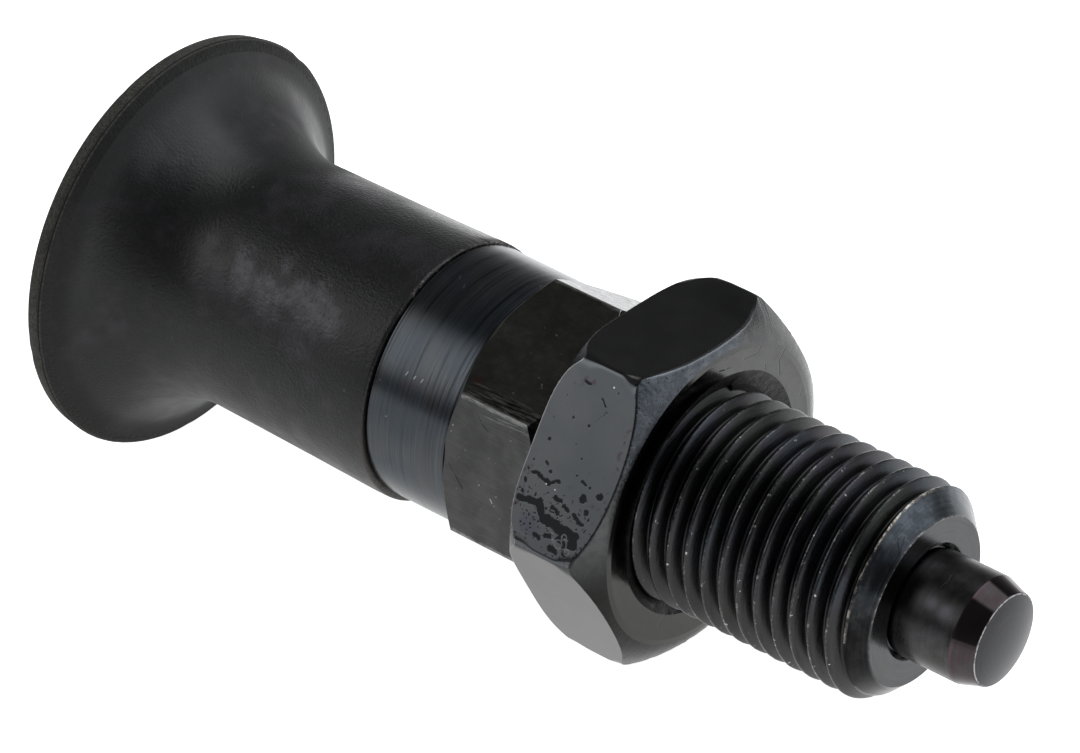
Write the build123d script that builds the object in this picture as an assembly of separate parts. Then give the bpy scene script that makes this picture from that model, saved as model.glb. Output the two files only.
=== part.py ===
from build123d import *
import math
import os

# Indexing plunger with lock nut and pull knob.
# Row frame: millimetres, +X along the axis towards the pin's nose, +Z up.
# Origin: on the axis, at the shoulder where the body's hexagon meets the thread.

# ---------------------------------------------------------------- driving dimensions
# threaded body (one turned piece)
THREAD_R = 8.0            # M16 major radius (the M16x1.5 thread is drawn as its outer cylinder)
THREAD_PITCH = 1.5
THREAD_ROOT_R = 7.08      # root radius of M16x1.5
THREAD_END_X = 26.0       # flat end face of the thread
END_FACE_R = 6.25         # outer radius of that end face, inside the 45 degree lead-in chamfer
RELIEF_LEN = 2.0          # run-out relief beside the hexagon
RELIEF_R = 6.9
HEX_AF = 19.0
HEX_LEN = 8.42            # hexagon runs from X = -8.42 to 0
HEX_FRONT_FACE_R = 9.1    # chamfer cone's radius in the front shoulder plane
HEX_FRONT_RISE = 0.80     # X run per mm of radius on the front chamfer
HEX_REAR_FACE_R = 9.58
HEX_REAR_RISE = 0.80
COLLAR_R = 9.6
COLLAR_END_X = -15.42
COLLAR_CHAMFER = 0.2
GUIDE_R = 4.02            # guide bore for the pin's nose
GUIDE_START_X = 16.0
GUIDE_MOUTH = 0.3
SPRING_BORE_R = 5.5
BUSH_SEAT_X = -9.7        # step that the bush is pressed against
BUSH_LIP = 0.5            # thickness of the staked lip behind the bush
BUSH_LIP_R = 5.7

# lock nut (its hexagon stands a little off the bore's centre, as on a stamped nut)
NUT_AF = 23.75
NUT_LEN = 7.7
NUT_OFFSET = (0.007, 0.20)   # hexagon's centre from the bore's centre, along Y and Z
NUT_BORE_R = 8.02
NUT_FACE_R = 11.3            # flat of the front face; outside it a convex chamfer falls away
NUT_CROWN = (10.76, 0.2166)  # front chamfer: X drop = k (R - R0)^2, as (R0, k)
NUT_BACK = ((11.9, 0.0), (12.2, 0.03), (12.53, 0.15), (12.8, 0.32), (13.04, 0.53), (13.3, 0.90), (13.635, 1.50), (13.9, 2.07))
NUT_CORNER_FILLET = 0.5
NUT_COUNTERSINK_R = 9.25
NUT_COUNTERSINK_DEPTH = 0.65

# locating pin
PIN_R = 3.98              # 8 mm pin, running fit
PIN_TIP_X = 32.8
PIN_TAPER_X = 30.75       # the lead-in taper starts here
PIN_TIP_R = 3.4
PIN_COLLAR_R = 5.4
PIN_COLLAR_X = (13.0, 15.98)
STEM_R = 3.0
STEM_END_X = -39.5
STEM_GROOVE_R = 2.6
STEM_GROOVES = ((-37.6, -36.4), (-33.6, -32.4))
GREASE_GROOVE = (25.45, 26.05, 3.78)   # from X, to X, radius: holds grease at the guide's mouth

# guide bush
BUSH_R = 6.0
BUSH_BORE_R = 3.05

# return spring
SPRING_WIRE = 0.9
SPRING_MEAN_R = 4.75
SPRING_X = (-9.68, 12.98)
SPRING_ACTIVE = 8.0       # active turns, plus one closed turn at each end

# pull knob
KNOB_FRONT_X = -15.62
KNOB_SKIRT = ((-16.25, 9.98), (-19.7, 9.90), (-23.0, 9.84), (-27.0, 9.79), (-32.5, 9.73))
KNOB_RECESS_R = 6.8
KNOB_RECESS_X = -17.2
FLARE_R = 8.9             # radius of the finger flare
FLARE_TURN = 66.0         # degrees that the flare turns through
LIP_X = -41.05            # widest front edge of the rim
RIM_R = 16.0
RIM_BACK_X = -41.85
DOME_EDGE = (-42.45, 15.55)
DOME_X = -45.6            # crown of the shallow back dome


# ---------------------------------------------------------------- helpers
def turned(points):
    """Solid of revolution about X from a closed (x, r) outline of straight lines."""
    return revolve(make_face(Polyline(*points, close=True)), Axis.X)


def hex_prism(af, x0, x1, corner_at):
    """Hexagonal bar along X, with a corner at the given angle from +Y about +X."""
    bar = extrude(
        Plane.YZ.offset(x0) * Rot(0, 0, corner_at) * RegularPolygon(af / math.sqrt(3), 6),
        amount=x1 - x0,
    )
    return bar


os.makedirs("parts", exist_ok=True)

# ---------------------------------------------------------------- threaded body
hex_corner_r = HEX_AF / math.sqrt(3)
front_drop = (hex_corner_r + 0.5 - HEX_FRONT_FACE_R) * HEX_FRONT_RISE
rear_drop = (hex_corner_r + 0.5 - HEX_REAR_FACE_R) * HEX_REAR_RISE
hexagon = hex_prism(HEX_AF, -HEX_LEN, 0.0, 26.0) & turned(
    [
        (-HEX_LEN, 0.0),
        (-HEX_LEN, HEX_REAR_FACE_R),
        (-HEX_LEN + rear_drop, hex_corner_r + 0.5),
        (-front_drop, hex_corner_r + 0.5),
        (0.0, HEX_FRONT_FACE_R),
        (0.0, 0.0),
    ]
)
shank = turned(
    [
        (COLLAR_END_X, 0.0),
        (COLLAR_END_X, COLLAR_R - COLLAR_CHAMFER),
        (COLLAR_END_X + COLLAR_CHAMFER, COLLAR_R),
        (-HEX_LEN, COLLAR_R),
        (-HEX_LEN, 8.0),
        (-1.0, 8.0),
        (-1.0, RELIEF_R),
        (RELIEF_LEN - 0.6, RELIEF_R),
        (RELIEF_LEN + 0.5, THREAD_R),
        # plain ring at root depth in the lock nut's mouth, between the engaged
        # and the free stretch of the thread
        (7.15 - 0.4, THREAD_R),
        (7.15, 7.6),
        (7.8, 7.6),
        (7.8, THREAD_R),
        (THREAD_END_X - (THREAD_R - END_FACE_R), THREAD_R),
        (THREAD_END_X, END_FACE_R),
        (THREAD_END_X, 0.0),
    ]
)
bores = turned(
    [
        (COLLAR_END_X - 1.0, 0.0),
        (COLLAR_END_X - 1.0, BUSH_LIP_R),
        (COLLAR_END_X + BUSH_LIP, BUSH_LIP_R),
        (COLLAR_END_X + BUSH_LIP, BUSH_R),
        (BUSH_SEAT_X, BUSH_R),
        (BUSH_SEAT_X, SPRING_BORE_R),
        (GUIDE_START_X, SPRING_BORE_R),
        (GUIDE_START_X, GUIDE_R),
        (THREAD_END_X - GUIDE_MOUTH, GUIDE_R),
        (THREAD_END_X, GUIDE_R + GUIDE_MOUTH),
        (THREAD_END_X + 1.0, GUIDE_R + GUIDE_MOUTH),
        (THREAD_END_X + 1.0, 0.0),
    ]
)
threaded_body = (shank + hexagon) - bores
threaded_body = threaded_body.clean()

# ---------------------------------------------------------------- lock nut
n_r0, n_k = NUT_CROWN


def crown_x(r):
    """Front chamfer: axial place of the surface at radius r from the hexagon's centre."""
    return NUT_LEN - n_k * (r - n_r0) ** 2


nut_bar = hex_prism(NUT_AF, 0.0, NUT_LEN, 0.0)
nut_bar = fillet(nut_bar.edges().filter_by(Axis.X), NUT_CORNER_FILLET)
top_r = NUT_BACK[-1][0]
nut_blank = revolve(
    make_face(
        Wire(
            [
                Line((0.0, 0.0), (0.0, NUT_BACK[0][0])),
                Spline(*[(x, r) for r, x in NUT_BACK], tangents=[(0.0, 1.0), (0.9, 0.4)]),
                Line((NUT_BACK[-1][1], top_r), (crown_x(top_r), top_r)),
                ThreePointArc((crown_x(top_r), top_r), (crown_x(12.6), 12.6), (crown_x(NUT_FACE_R), NUT_FACE_R)),
                Line((crown_x(NUT_FACE_R), NUT_FACE_R), (NUT_LEN, NUT_FACE_R - 0.05)),
                Line((NUT_LEN, NUT_FACE_R - 0.05), (NUT_LEN, 0.0)),
                Line((NUT_LEN, 0.0), (0.0, 0.0)),
            ]
        )
    ),
    Axis.X,
)
lock_nut = Pos(0.0, *NUT_OFFSET) * (nut_bar & nut_blank)
lock_nut = lock_nut - turned(
    [
        (-1.0, 0.0),
        (-1.0, NUT_COUNTERSINK_R - 0.4),
        (0.0, NUT_COUNTERSINK_R - 0.4),
        (0.45, NUT_BORE_R),
        (NUT_LEN - NUT_COUNTERSINK_DEPTH, NUT_BORE_R),
        (NUT_LEN, NUT_COUNTERSINK_R),
        (NUT_LEN + 1.0, NUT_COUNTERSINK_R),
        (NUT_LEN + 1.0, 0.0),
    ]
)

# ---------------------------------------------------------------- locating pin
g0, g1, gr = GREASE_GROOVE
outline = [(STEM_END_X, 0.0), (STEM_END_X, STEM_R - 0.4), (STEM_END_X + 0.4, STEM_R)]
for a, b in STEM_GROOVES:
    outline += [(a, STEM_R), (a, STEM_GROOVE_R), (b, STEM_GROOVE_R), (b, STEM_R)]
outline += [
    (PIN_COLLAR_X[0], STEM_R),
    (PIN_COLLAR_X[0], PIN_COLLAR_R - 0.3),
    (PIN_COLLAR_X[0] + 0.3, PIN_COLLAR_R),
    (PIN_COLLAR_X[1] - 0.3, PIN_COLLAR_R),
    (PIN_COLLAR_X[1], PIN_COLLAR_R - 0.3),
    (PIN_COLLAR_X[1], PIN_R),
    (g0, PIN_R),
    (g0 + 0.1, gr),
    (g1 - 0.1, gr),
    (g1, PIN_R),
    (PIN_TAPER_X, PIN_R),
    (PIN_TIP_X - 0.1, PIN_TIP_R + 0.04),
    (PIN_TIP_X, PIN_TIP_R - 0.08),
    (PIN_TIP_X, 0.0),
]
locating_pin = turned(outline)

# ---------------------------------------------------------------- guide bush
guide_bush = turned(
    [
        (COLLAR_END_X + BUSH_LIP, BUSH_BORE_R + 0.3),
        (COLLAR_END_X + BUSH_LIP, BUSH_R - 0.3),
        (COLLAR_END_X + BUSH_LIP + 0.3, BUSH_R),
        (BUSH_SEAT_X - 0.3, BUSH_R),
        (BUSH_SEAT_X, BUSH_R - 0.3),
        (BUSH_SEAT_X, BUSH_BORE_R + 0.3),
        (BUSH_SEAT_X - 0.3, BUSH_BORE_R),
        (COLLAR_END_X + BUSH_LIP + 0.3, BUSH_BORE_R),
    ]
)

# ---------------------------------------------------------------- return spring
# wire centre line: a closed turn at each end, open turns between, ends ground flat
w = SPRING_WIRE
s0, s1 = SPRING_X
ground = 0.25 * w                       # wire cut away by the end grinding
c0, c1 = s0 + w / 2 - ground, s1 - w / 2 + ground
closed = 1.03 * w                       # pitch of the closed turns
open_len = (c1 - c0) - 2 * closed
turns = SPRING_ACTIVE + 2.0
samples = int(turns * 12)


def along(t):
    """Axial position of the wire centre after t turns."""
    a, b = 1.0, turns - 1.0
    if t <= a:
        return c0 + closed * t
    if t >= b:
        return c1 - closed * (turns - t)
    u = (t - a) / (b - a)
    return c0 + closed + open_len * u


pts = []
for i in range(samples + 1):
    t = turns * i / samples
    ang = 2.0 * math.pi * t
    pts.append((along(t), SPRING_MEAN_R * math.cos(ang), SPRING_MEAN_R * math.sin(ang)))
centre = Spline(*pts)
start = Plane(origin=centre @ 0, z_dir=centre % 0)
spring = sweep(start * Circle(w / 2), path=centre, is_frenet=True)
return_spring = spring & turned([(s0, 0.0), (s0, 9.0), (s1, 9.0), (s1, 0.0)])

# ---------------------------------------------------------------- pull knob
turn = math.radians(FLARE_TURN)
fx, fr = KNOB_SKIRT[-1]
flare_end = (fx - FLARE_R * math.sin(turn), fr + FLARE_R * (1.0 - math.cos(turn)))
half = turn / 2.0
flare_mid = (fx - FLARE_R * math.sin(half), fr + FLARE_R * (1.0 - math.cos(half)))
dome_mid_r = DOME_EDGE[1] / 2.0
dome_R = (DOME_EDGE[1] ** 2 + (DOME_EDGE[0] - DOME_X) ** 2) / (2.0 * (DOME_EDGE[0] - DOME_X))
dome_mid_x = DOME_X + dome_R - math.sqrt(dome_R**2 - dome_mid_r**2)
edge_mid = (RIM_BACK_X - 0.33, RIM_R - 0.12)
skirt_start = (KNOB_FRONT_X - 0.2, KNOB_SKIRT[0][1] - 0.03)
outline = [
    Line((KNOB_FRONT_X, 0.0), (KNOB_FRONT_X, skirt_start[1] - 0.2)),
    RadiusArc((KNOB_FRONT_X, skirt_start[1] - 0.2), skirt_start, -0.2),
    Spline(skirt_start, *KNOB_SKIRT, tangents=[(-1, 0.05), (-1, 0)]),
    ThreePointArc((fx, fr), flare_mid, flare_end),
    Line(flare_end, (LIP_X, RIM_R)),
    Line((LIP_X, RIM_R), (RIM_BACK_X, RIM_R)),
    ThreePointArc((RIM_BACK_X, RIM_R), edge_mid, DOME_EDGE),
    ThreePointArc(DOME_EDGE, (dome_mid_x, dome_mid_r), (DOME_X, 0.0)),
    Line((DOME_X, 0.0), (KNOB_FRONT_X, 0.0)),
]
knob_solid = revolve(make_face(Wire(outline)), Axis.X)
recess = turned(
    [
        (KNOB_FRONT_X + 1.0, 0.0),
        (KNOB_FRONT_X + 1.0, KNOB_RECESS_R),
        (KNOB_RECESS_X, KNOB_RECESS_R),
        (KNOB_RECESS_X, 0.0),
    ]
)
pull_knob = knob_solid - recess - locating_pin

# ---------------------------------------------------------------- write
nodes = {
    "threaded_body": threaded_body,
    "lock_nut": lock_nut,
    "locating_pin": locating_pin,
    "return_spring": return_spring,
    "guide_bush": guide_bush,
    "pull_knob": pull_knob,
}
for name, shape in nodes.items():
    solids = shape.solids()
    print(name, len(solids), "solid(s)", round(shape.volume, 1), "mm3", "valid" if shape.is_valid else "NOT VALID")
    export_step(shape if len(solids) > 1 else solids[0], f"parts/{name}.step")
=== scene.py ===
import bpy, math
import numpy as np
from mathutils import Vector, Matrix, noise as mnoise


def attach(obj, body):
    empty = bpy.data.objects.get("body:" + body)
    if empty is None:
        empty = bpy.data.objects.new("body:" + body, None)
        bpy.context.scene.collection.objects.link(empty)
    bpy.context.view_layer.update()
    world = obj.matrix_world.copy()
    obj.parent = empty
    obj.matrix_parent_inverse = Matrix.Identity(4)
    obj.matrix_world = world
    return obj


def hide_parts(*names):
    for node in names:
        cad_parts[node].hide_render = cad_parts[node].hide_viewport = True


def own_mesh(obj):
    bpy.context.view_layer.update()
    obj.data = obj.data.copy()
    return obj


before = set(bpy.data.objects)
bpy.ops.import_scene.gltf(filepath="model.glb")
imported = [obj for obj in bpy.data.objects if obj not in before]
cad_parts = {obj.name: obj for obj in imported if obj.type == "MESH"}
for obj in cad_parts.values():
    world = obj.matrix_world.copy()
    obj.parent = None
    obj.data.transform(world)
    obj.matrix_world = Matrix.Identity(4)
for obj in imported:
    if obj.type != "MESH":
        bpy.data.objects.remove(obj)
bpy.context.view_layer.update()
MM = 0.001

# ------------------------------------------------------------------ sizes (mm), as in the CAD
PITCH = 1.5
CREST_R, ROOT_R = 8.0, 7.08
VALLEY_X = 1.13            # a thread valley crosses alpha = 0 here (plus any number of pitches)
THREAD_X0, THREAD_X1 = 1.40, 25.85
HEX_AF, HEX_AT, HEX_RHO, HEX_LEN = 19.0, 26.0, 0.16, 8.42
COLLAR_R, COLLAR_END = 9.6, -15.49
NUT_AF, NUT_AT, NUT_RHO, NUT_LEN = 23.75, 0.0, 0.5, 7.7
NUT_OFF = (0.007, 0.20)
KNOB_FRONT = -15.56
SKIRT = ((-16.25, 9.98), (-19.7, 9.90), (-23.0, 9.84), (-27.0, 9.79), (-32.5, 9.73))


def smooth(a, b, x):
    t = min(max((x - a) / (b - a), 0.0), 1.0)
    return t * t * (3 - 2 * t)


def wob(*v):
    """Smooth repeatable noise between about -1 and 1."""
    return mnoise.noise(Vector(v))


# ------------------------------------------------------------------ mesh tools
def mesh_object(name, verts_mm, faces, mats=(), mat_index=None, sharp=None):
    me = bpy.data.meshes.new(name)
    v = np.asarray(verts_mm, float) * MM
    me.from_pydata([tuple(p) for p in v], [], [tuple(f) for f in faces])
    me.update()
    for m in mats:
        me.materials.append(m)
    if mat_index is not None:
        me.polygons.foreach_set("material_index", np.asarray(mat_index, np.int32))
    me.validate(verbose=False)
    me.polygons.foreach_set("use_smooth", np.ones(len(me.polygons), bool))
    if sharp:
        me.set_sharp_from_angle(angle=math.radians(sharp))
    me.update()
    ob = bpy.data.objects.new(name, me)
    bpy.context.scene.collection.objects.link(ob)
    return ob


def outward(verts, faces):
    """Flips the faces if the closed mesh is inside out."""
    v = np.asarray(verts, float)
    vol = 0.0
    for f in faces:
        for k in range(1, len(f) - 1):
            vol += np.dot(v[f[0]], np.cross(v[f[k]], v[f[k + 1]]))
    return [f[::-1] for f in faces] if vol < 0 else faces


def rounded(points, radii, k=4, lead=0.06):
    """An (x, r) line with its inner corners rounded, as (x, r, tag): always the same number of points.
    The tag says where a point lies along the line: 2.5 is half way from corner 2 to corner 3."""
    out = [(*points[0], 0.0)]
    for i in range(1, len(points) - 1):
        a, b, c = (np.array(points[j], float) for j in (i - 1, i, i + 1))
        rad = radii[i]
        if not rad:
            out.append((*b, float(i)))
            continue
        u, w = a - b, c - b
        lu, lw = np.linalg.norm(u), np.linalg.norm(w)
        if lu < 1e-9 or lw < 1e-9:
            out += [(*b, i + (q - (k + 2) / 2) * 0.01) for q in range(k + 3)]
            continue
        u, w = u / lu, w / lw
        half = math.acos(float(np.clip(u @ w, -1, 1))) / 2
        t = min(rad / max(math.tan(half), 1e-6), 0.42 * lu, 0.42 * lw)
        ld = min(lead, 0.05 * lu + 0.02, 0.06 * lw + 0.02)
        out.append((*(b + u * min(t + ld, 0.48 * lu)), i - 0.4))
        for q in range(k + 1):
            s = q / k
            p = (1 - s) ** 2 * (b + u * t) + 2 * s * (1 - s) * b + s * s * (b + w * t)
            out.append((*p, i - 0.3 + 0.6 * s))
        out.append((*(b + w * min(t + ld, 0.48 * lw)), i + 0.4))
    out.append((*points[-1], float(len(points) - 1)))
    return out


def hex_columns(at_deg, af, rho, step=2.5):
    """Angles (degrees, rising from 0) that resolve the rounded corners of a hexagon."""
    phi_t = math.degrees(math.atan2(rho * 0.5, (af / 2 - rho) / math.cos(math.pi / 6) + rho * 0.866))
    local = sorted(
        {round(s * f * phi_t, 5) for s in (-1, 1) for f in (0, 0.25, 0.5, 0.75, 1.0)}
        | {round(s * (phi_t + e), 5) for s in (-1, 1) for e in (0.25, 1.1)}
        | {round(s * a, 5) for s in (-1, 1) for a in np.arange(phi_t + 2.0, 30.01, step)}
        | {30.0}
    )
    local = [a for a in local if a > -30.0 + 1e-6]
    cols = sorted({round((at_deg + 60 * k + a) % 360.0, 5) for k in range(6) for a in local})
    keep = [cols[0]]
    for c in cols[1:]:
        if c - keep[-1] > 0.02:
            keep.append(c)
    return np.array(keep)


def hex_radius(alpha_deg, af, at_deg, rho):
    """Radius of a hexagon with rounded corners in the direction alpha."""
    phi = abs(((alpha_deg - at_deg + 30.0) % 60.0) - 30.0)
    dc = (af / 2 - rho) / math.cos(math.pi / 6)
    phi_t = math.degrees(math.atan2(rho * 0.5, dc + rho * 0.866))
    p = math.radians(phi)
    if phi < phi_t:
        return dc * math.cos(p) + math.sqrt(max(rho**2 - (dc * math.sin(p)) ** 2, 0.0))
    return (af / 2) / math.cos(math.radians(30.0 - phi))


def thread_depth(s, pitch=PITCH):
    """0 at the crest, 1 at the root, for an axial place s measured from a valley's middle."""
    u = abs(((s / pitch + 0.5) % 1.0) - 0.5) * pitch
    root_half, crest_half = 0.10, 0.105
    if u <= root_half:
        return 1.0 - 0.06 * (u / root_half) ** 2
    if u >= pitch / 2 - crest_half:
        t = (pitch / 2 - u) / crest_half
        return 0.045 * t * t
    return 0.94 + (0.045 - 0.94) * (u - root_half) / (pitch / 2 - crest_half - root_half)


# places of the mesh rows inside one pitch, from the valley's middle
ROWS = [-0.70, -0.645, -0.60, -0.50, -0.38, -0.25, -0.15, -0.10, -0.04, 0.04, 0.10, 0.15, 0.25, 0.38, 0.50, 0.60, 0.645, 0.70]


def lathe_with_thread(name, alphas, fixed, x0, x1, radius, mats, zone_of, thread_zone, place=None, sharp=None, rows=ROWS):
    """A closed ring-shaped body. fixed(i) is column i's meridian line outside the thread, from the
    thread's end (x1) round to its start (x0). radius(x, s, alpha) is the thread's surface."""
    n, m = len(alphas), len(rows)
    k0 = math.floor((x0 - PITCH - VALLEY_X) / PITCH) - 1
    k1 = math.ceil((x1 - VALLEY_X) / PITCH) + 1
    s_rows = [VALLEY_X + PITCH * k + r for k in range(k0, k1 + 1) for r in rows]
    verts, ids_fixed, ids_thread, tags = [], [], [], None
    for i, al in enumerate(alphas):
        ca, sa = math.cos(math.radians(al)), math.sin(math.radians(al))
        line = fixed(i)
        tags = [p[2] for p in line]
        ids = []
        for x, r, tag in line:
            ids.append(len(verts))
            p = (x, r * ca, r * sa)
            verts.append(place(p, r, al) if place else p)
        ids_fixed.append(ids)
        tid = []
        for s in s_rows:
            x = s + PITCH * al / 360.0
            if x <= x0 + 0.004:
                tid.append(ids[-1])
            elif x >= x1 - 0.004:
                tid.append(ids[0])
            else:
                r = radius(x, s - VALLEY_X, al)
                tid.append(len(verts))
                verts.append((x, r * ca, r * sa))
        ids_thread.append(tid)
    faces, zones = [], []

    def add(f, z):
        g = [f[0]]
        for v in f[1:]:
            if v != g[-1]:
                g.append(v)
        if len(g) > 1 and g[0] == g[-1]:
            g.pop()
        if len(set(g)) >= 3:
            faces.append(g)
            zones.append(z)

    nf = len(tags)
    for i in range(n):
        j = (i + 1) % n
        mid = (alphas[i] + (alphas[j] if j else alphas[0] + 360.0)) / 2
        for q in range(nf - 1):
            add([ids_fixed[i][q], ids_fixed[j][q], ids_fixed[j][q + 1], ids_fixed[i][q + 1]],
                zone_of(int((tags[q] + tags[q + 1]) / 2), mid))
        shift = m if j == 0 else 0
        cur, nxt = ids_thread[i], ids_thread[j]

        def nx(t):
            return nxt[t + shift] if t + shift < len(nxt) else ids_fixed[j][0]

        for t in range(len(s_rows) - 1):
            add([cur[t], nx(t), nx(t + 1), cur[t + 1]], thread_zone)
    faces = outward(verts, faces)
    return mesh_object(name, verts, faces, mats, zones, sharp)


def lathe(name, alphas, lines, mats, zone_of, place=None, sharp=None, closed=False):
    """Solid of revolution from one meridian line per column. Points on the axis become one vertex."""
    n, nrow = len(alphas), len(lines[0])
    verts, ids = [], np.zeros((n, nrow), int)
    for q in range(nrow):
        if all(abs(lines[i][q][1]) < 1e-9 for i in range(n)):
            ids[:, q] = len(verts)
            verts.append((lines[0][q][0], 0.0, 0.0))
            continue
        for i, al in enumerate(alphas):
            x, r = lines[i][q][:2]
            p = (x, r * math.cos(math.radians(al)), r * math.sin(math.radians(al)))
            ids[i, q] = len(verts)
            verts.append(place(p, r, al) if place else p)
    faces, zones = [], []
    last = nrow if closed else nrow - 1
    for i in range(n):
        j = (i + 1) % n
        for q in range(last):
            p = (q + 1) % nrow
            g = []
            for v in (ids[i, q], ids[j, q], ids[j, p], ids[i, p]):
                if v not in g:
                    g.append(int(v))
            if len(g) >= 3:
                faces.append(g)
                zones.append(zone_of(q))
    faces = outward(verts, faces)
    return mesh_object(name, verts, faces, mats, zones, sharp)


# ------------------------------------------------------------------ node tools
class Graph:
    def __init__(self, tree):
        self.t = tree

    def new(self, kind, **props):
        n = self.t.nodes.new(kind)
        for k, v in props.items():
            setattr(n, k, v)
        return n

    def put(self, socket, value):
        if isinstance(value, bpy.types.NodeSocket):
            self.t.links.new(value, socket)
        else:
            socket.default_value = value

    def math(self, op, a, b=0.0, c=0.0, clamp=False):
        n = self.new("ShaderNodeMath", operation=op, use_clamp=clamp)
        for s, v in zip(n.inputs, (a, b, c)):
            self.put(s, v)
        return n.outputs[0]

    def add(self, a, b): return self.math("ADD", a, b)
    def sub(self, a, b): return self.math("SUBTRACT", a, b)
    def mul(self, a, b): return self.math("MULTIPLY", a, b)
    def mn(self, a, b): return self.math("MINIMUM", a, b)
    def mx(self, a, b): return self.math("MAXIMUM", a, b)

    def vec(self, op, a, b=(0, 0, 0), scale=None):
        n = self.new("ShaderNodeVectorMath", operation=op)
        self.put(n.inputs[0], a)
        self.put(n.inputs[1], b)
        if scale is not None:
            self.put(n.inputs["Scale"], scale)
        return n.outputs["Value"] if op in ("DOT_PRODUCT", "LENGTH", "DISTANCE") else n.outputs[0]

    def xyz(self, x, y, z):
        n = self.new("ShaderNodeCombineXYZ")
        for s, v in zip(n.inputs, (x, y, z)):
            self.put(s, v)
        return n.outputs[0]

    def smooth(self, v, lo, hi, a=0.0, b=1.0):
        n = self.new("ShaderNodeMapRange", interpolation_type="SMOOTHSTEP")
        for s, q in zip(n.inputs[:5], (v, lo, hi, a, b)):
            self.put(s, q)
        return n.outputs[0]

    def lin(self, v, lo, hi, a=0.0, b=1.0):
        n = self.new("ShaderNodeMapRange")
        for s, q in zip(n.inputs[:5], (v, lo, hi, a, b)):
            self.put(s, q)
        return n.outputs[0]

    def noise(self, vec, scale=1.0, detail=2.0, rough=0.5, dist=0.0, color=False):
        n = self.new("ShaderNodeTexNoise")
        self.put(n.inputs["Vector"], vec)
        n.inputs["Scale"].default_value = scale
        n.inputs["Detail"].default_value = detail
        n.inputs["Roughness"].default_value = rough
        n.inputs["Distortion"].default_value = dist
        return n.outputs["Color" if color else "Fac"]

    def mixc(self, fac, a, b):
        n = self.new("ShaderNodeMix", data_type="RGBA")
        self.put(n.inputs[0], fac)
        self.put(n.inputs[6], (*a, 1.0) if isinstance(a, tuple) else a)
        self.put(n.inputs[7], (*b, 1.0) if isinstance(b, tuple) else b)
        return n.outputs[2]

    def mixf(self, fac, a, b):
        n = self.new("ShaderNodeMix", data_type="FLOAT")
        for s, v in zip((n.inputs[0], n.inputs[2], n.inputs[3]), (fac, a, b)):
            self.put(s, v)
        return n.outputs[0]

    def scale(self, col, k):
        """A colour times a number."""
        return self.vec("SCALE", col, scale=k)


class Mat(Graph):
    """A Principled material with the object's own place in millimetres at hand."""

    def __init__(self, name, metallic=1.0):
        self.m = bpy.data.materials.new(name)
        self.m.use_nodes = True
        super().__init__(self.m.node_tree)
        self.b = self.t.nodes["Principled BSDF"]
        self.b.inputs["Metallic"].default_value = metallic
        tc = self.new("ShaderNodeTexCoord")
        self.p = self.vec("SCALE", tc.outputs["Object"], scale=1000.0)
        sep = self.new("ShaderNodeSeparateXYZ")
        self.put(sep.inputs[0], self.p)
        self.x, self.y, self.z = sep.outputs

    def r(self):
        return self.math("SQRT", self.add(self.mul(self.y, self.y), self.mul(self.z, self.z)))

    def angle(self):
        return self.math("ARCTAN2", self.z, self.y)

    def along(self, kx, kr):
        """A place stretched along the circumference (kr small) or along the axis (kx small)."""
        return self.vec("MULTIPLY", self.p, (kx, kr, kr))

    def flat(self, alpha):
        """(x, v, 0) on the flat whose normal points to alpha."""
        c, s = math.cos(math.radians(alpha)), math.sin(math.radians(alpha))
        return self.xyz(self.x, self.vec("DOT_PRODUCT", self.p, (0, -s, c)), 0.0)

    def marks(self, uv, items):
        """Least distance (mm) to the edge of marks (u, v, w) and strokes (u0, v0, u1, v1, w)."""
        best = None
        for it in items:
            if len(it) == 3:
                d = self.vec("DISTANCE", uv, (it[0], it[1], 0.0))
            else:
                u0, v0, u1, v1 = it[:4]
                ba = (u1 - u0, v1 - v0, 0.0)
                pa = self.vec("SUBTRACT", uv, (u0, v0, 0.0))
                h = self.math("DIVIDE", self.vec("DOT_PRODUCT", pa, ba), ba[0] ** 2 + ba[1] ** 2, clamp=True)
                d = self.vec("LENGTH", self.vec("SUBTRACT", pa, self.vec("SCALE", ba, scale=h)))
            d = self.sub(d, it[-1])
            best = d if best is None else self.mn(best, d)
        return best

    def attr(self, name):
        return self.new("ShaderNodeAttribute", attribute_name=name).outputs["Fac"]

    def warp(self, uv, size, scale):
        n = self.noise(self.p, scale, 2.0, 0.6, color=True)
        return self.vec("ADD", uv, self.vec("SCALE", self.vec("SUBTRACT", n, (0.5, 0.5, 0.5)), scale=size))

    def finish(self, color, rough, height=None, strength=1.0, distance=0.001):
        self.put(self.b.inputs["Base Color"], (*color, 1.0) if isinstance(color, tuple) else color)
        self.put(self.b.inputs["Roughness"], rough)
        if height is not None:
            n = self.new("ShaderNodeBump")
            n.inputs["Strength"].default_value = strength
            n.inputs["Distance"].default_value = distance
            self.put(n.inputs["Height"], height)
            self.put(self.b.inputs["Normal"], n.outputs[0])
        return self.m


# ------------------------------------------------------------------ camera
cam_data = bpy.data.cameras.new("camera")
cam_data.sensor_width = 36.0
cam_data.sensor_fit = "HORIZONTAL"
cam_data.lens = 5200.0 / 1080.0 * 36.0
cam_data.clip_start, cam_data.clip_end = 0.01, 10.0
cam = bpy.data.objects.new("camera", cam_data)
bpy.context.scene.collection.objects.link(cam)
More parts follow.
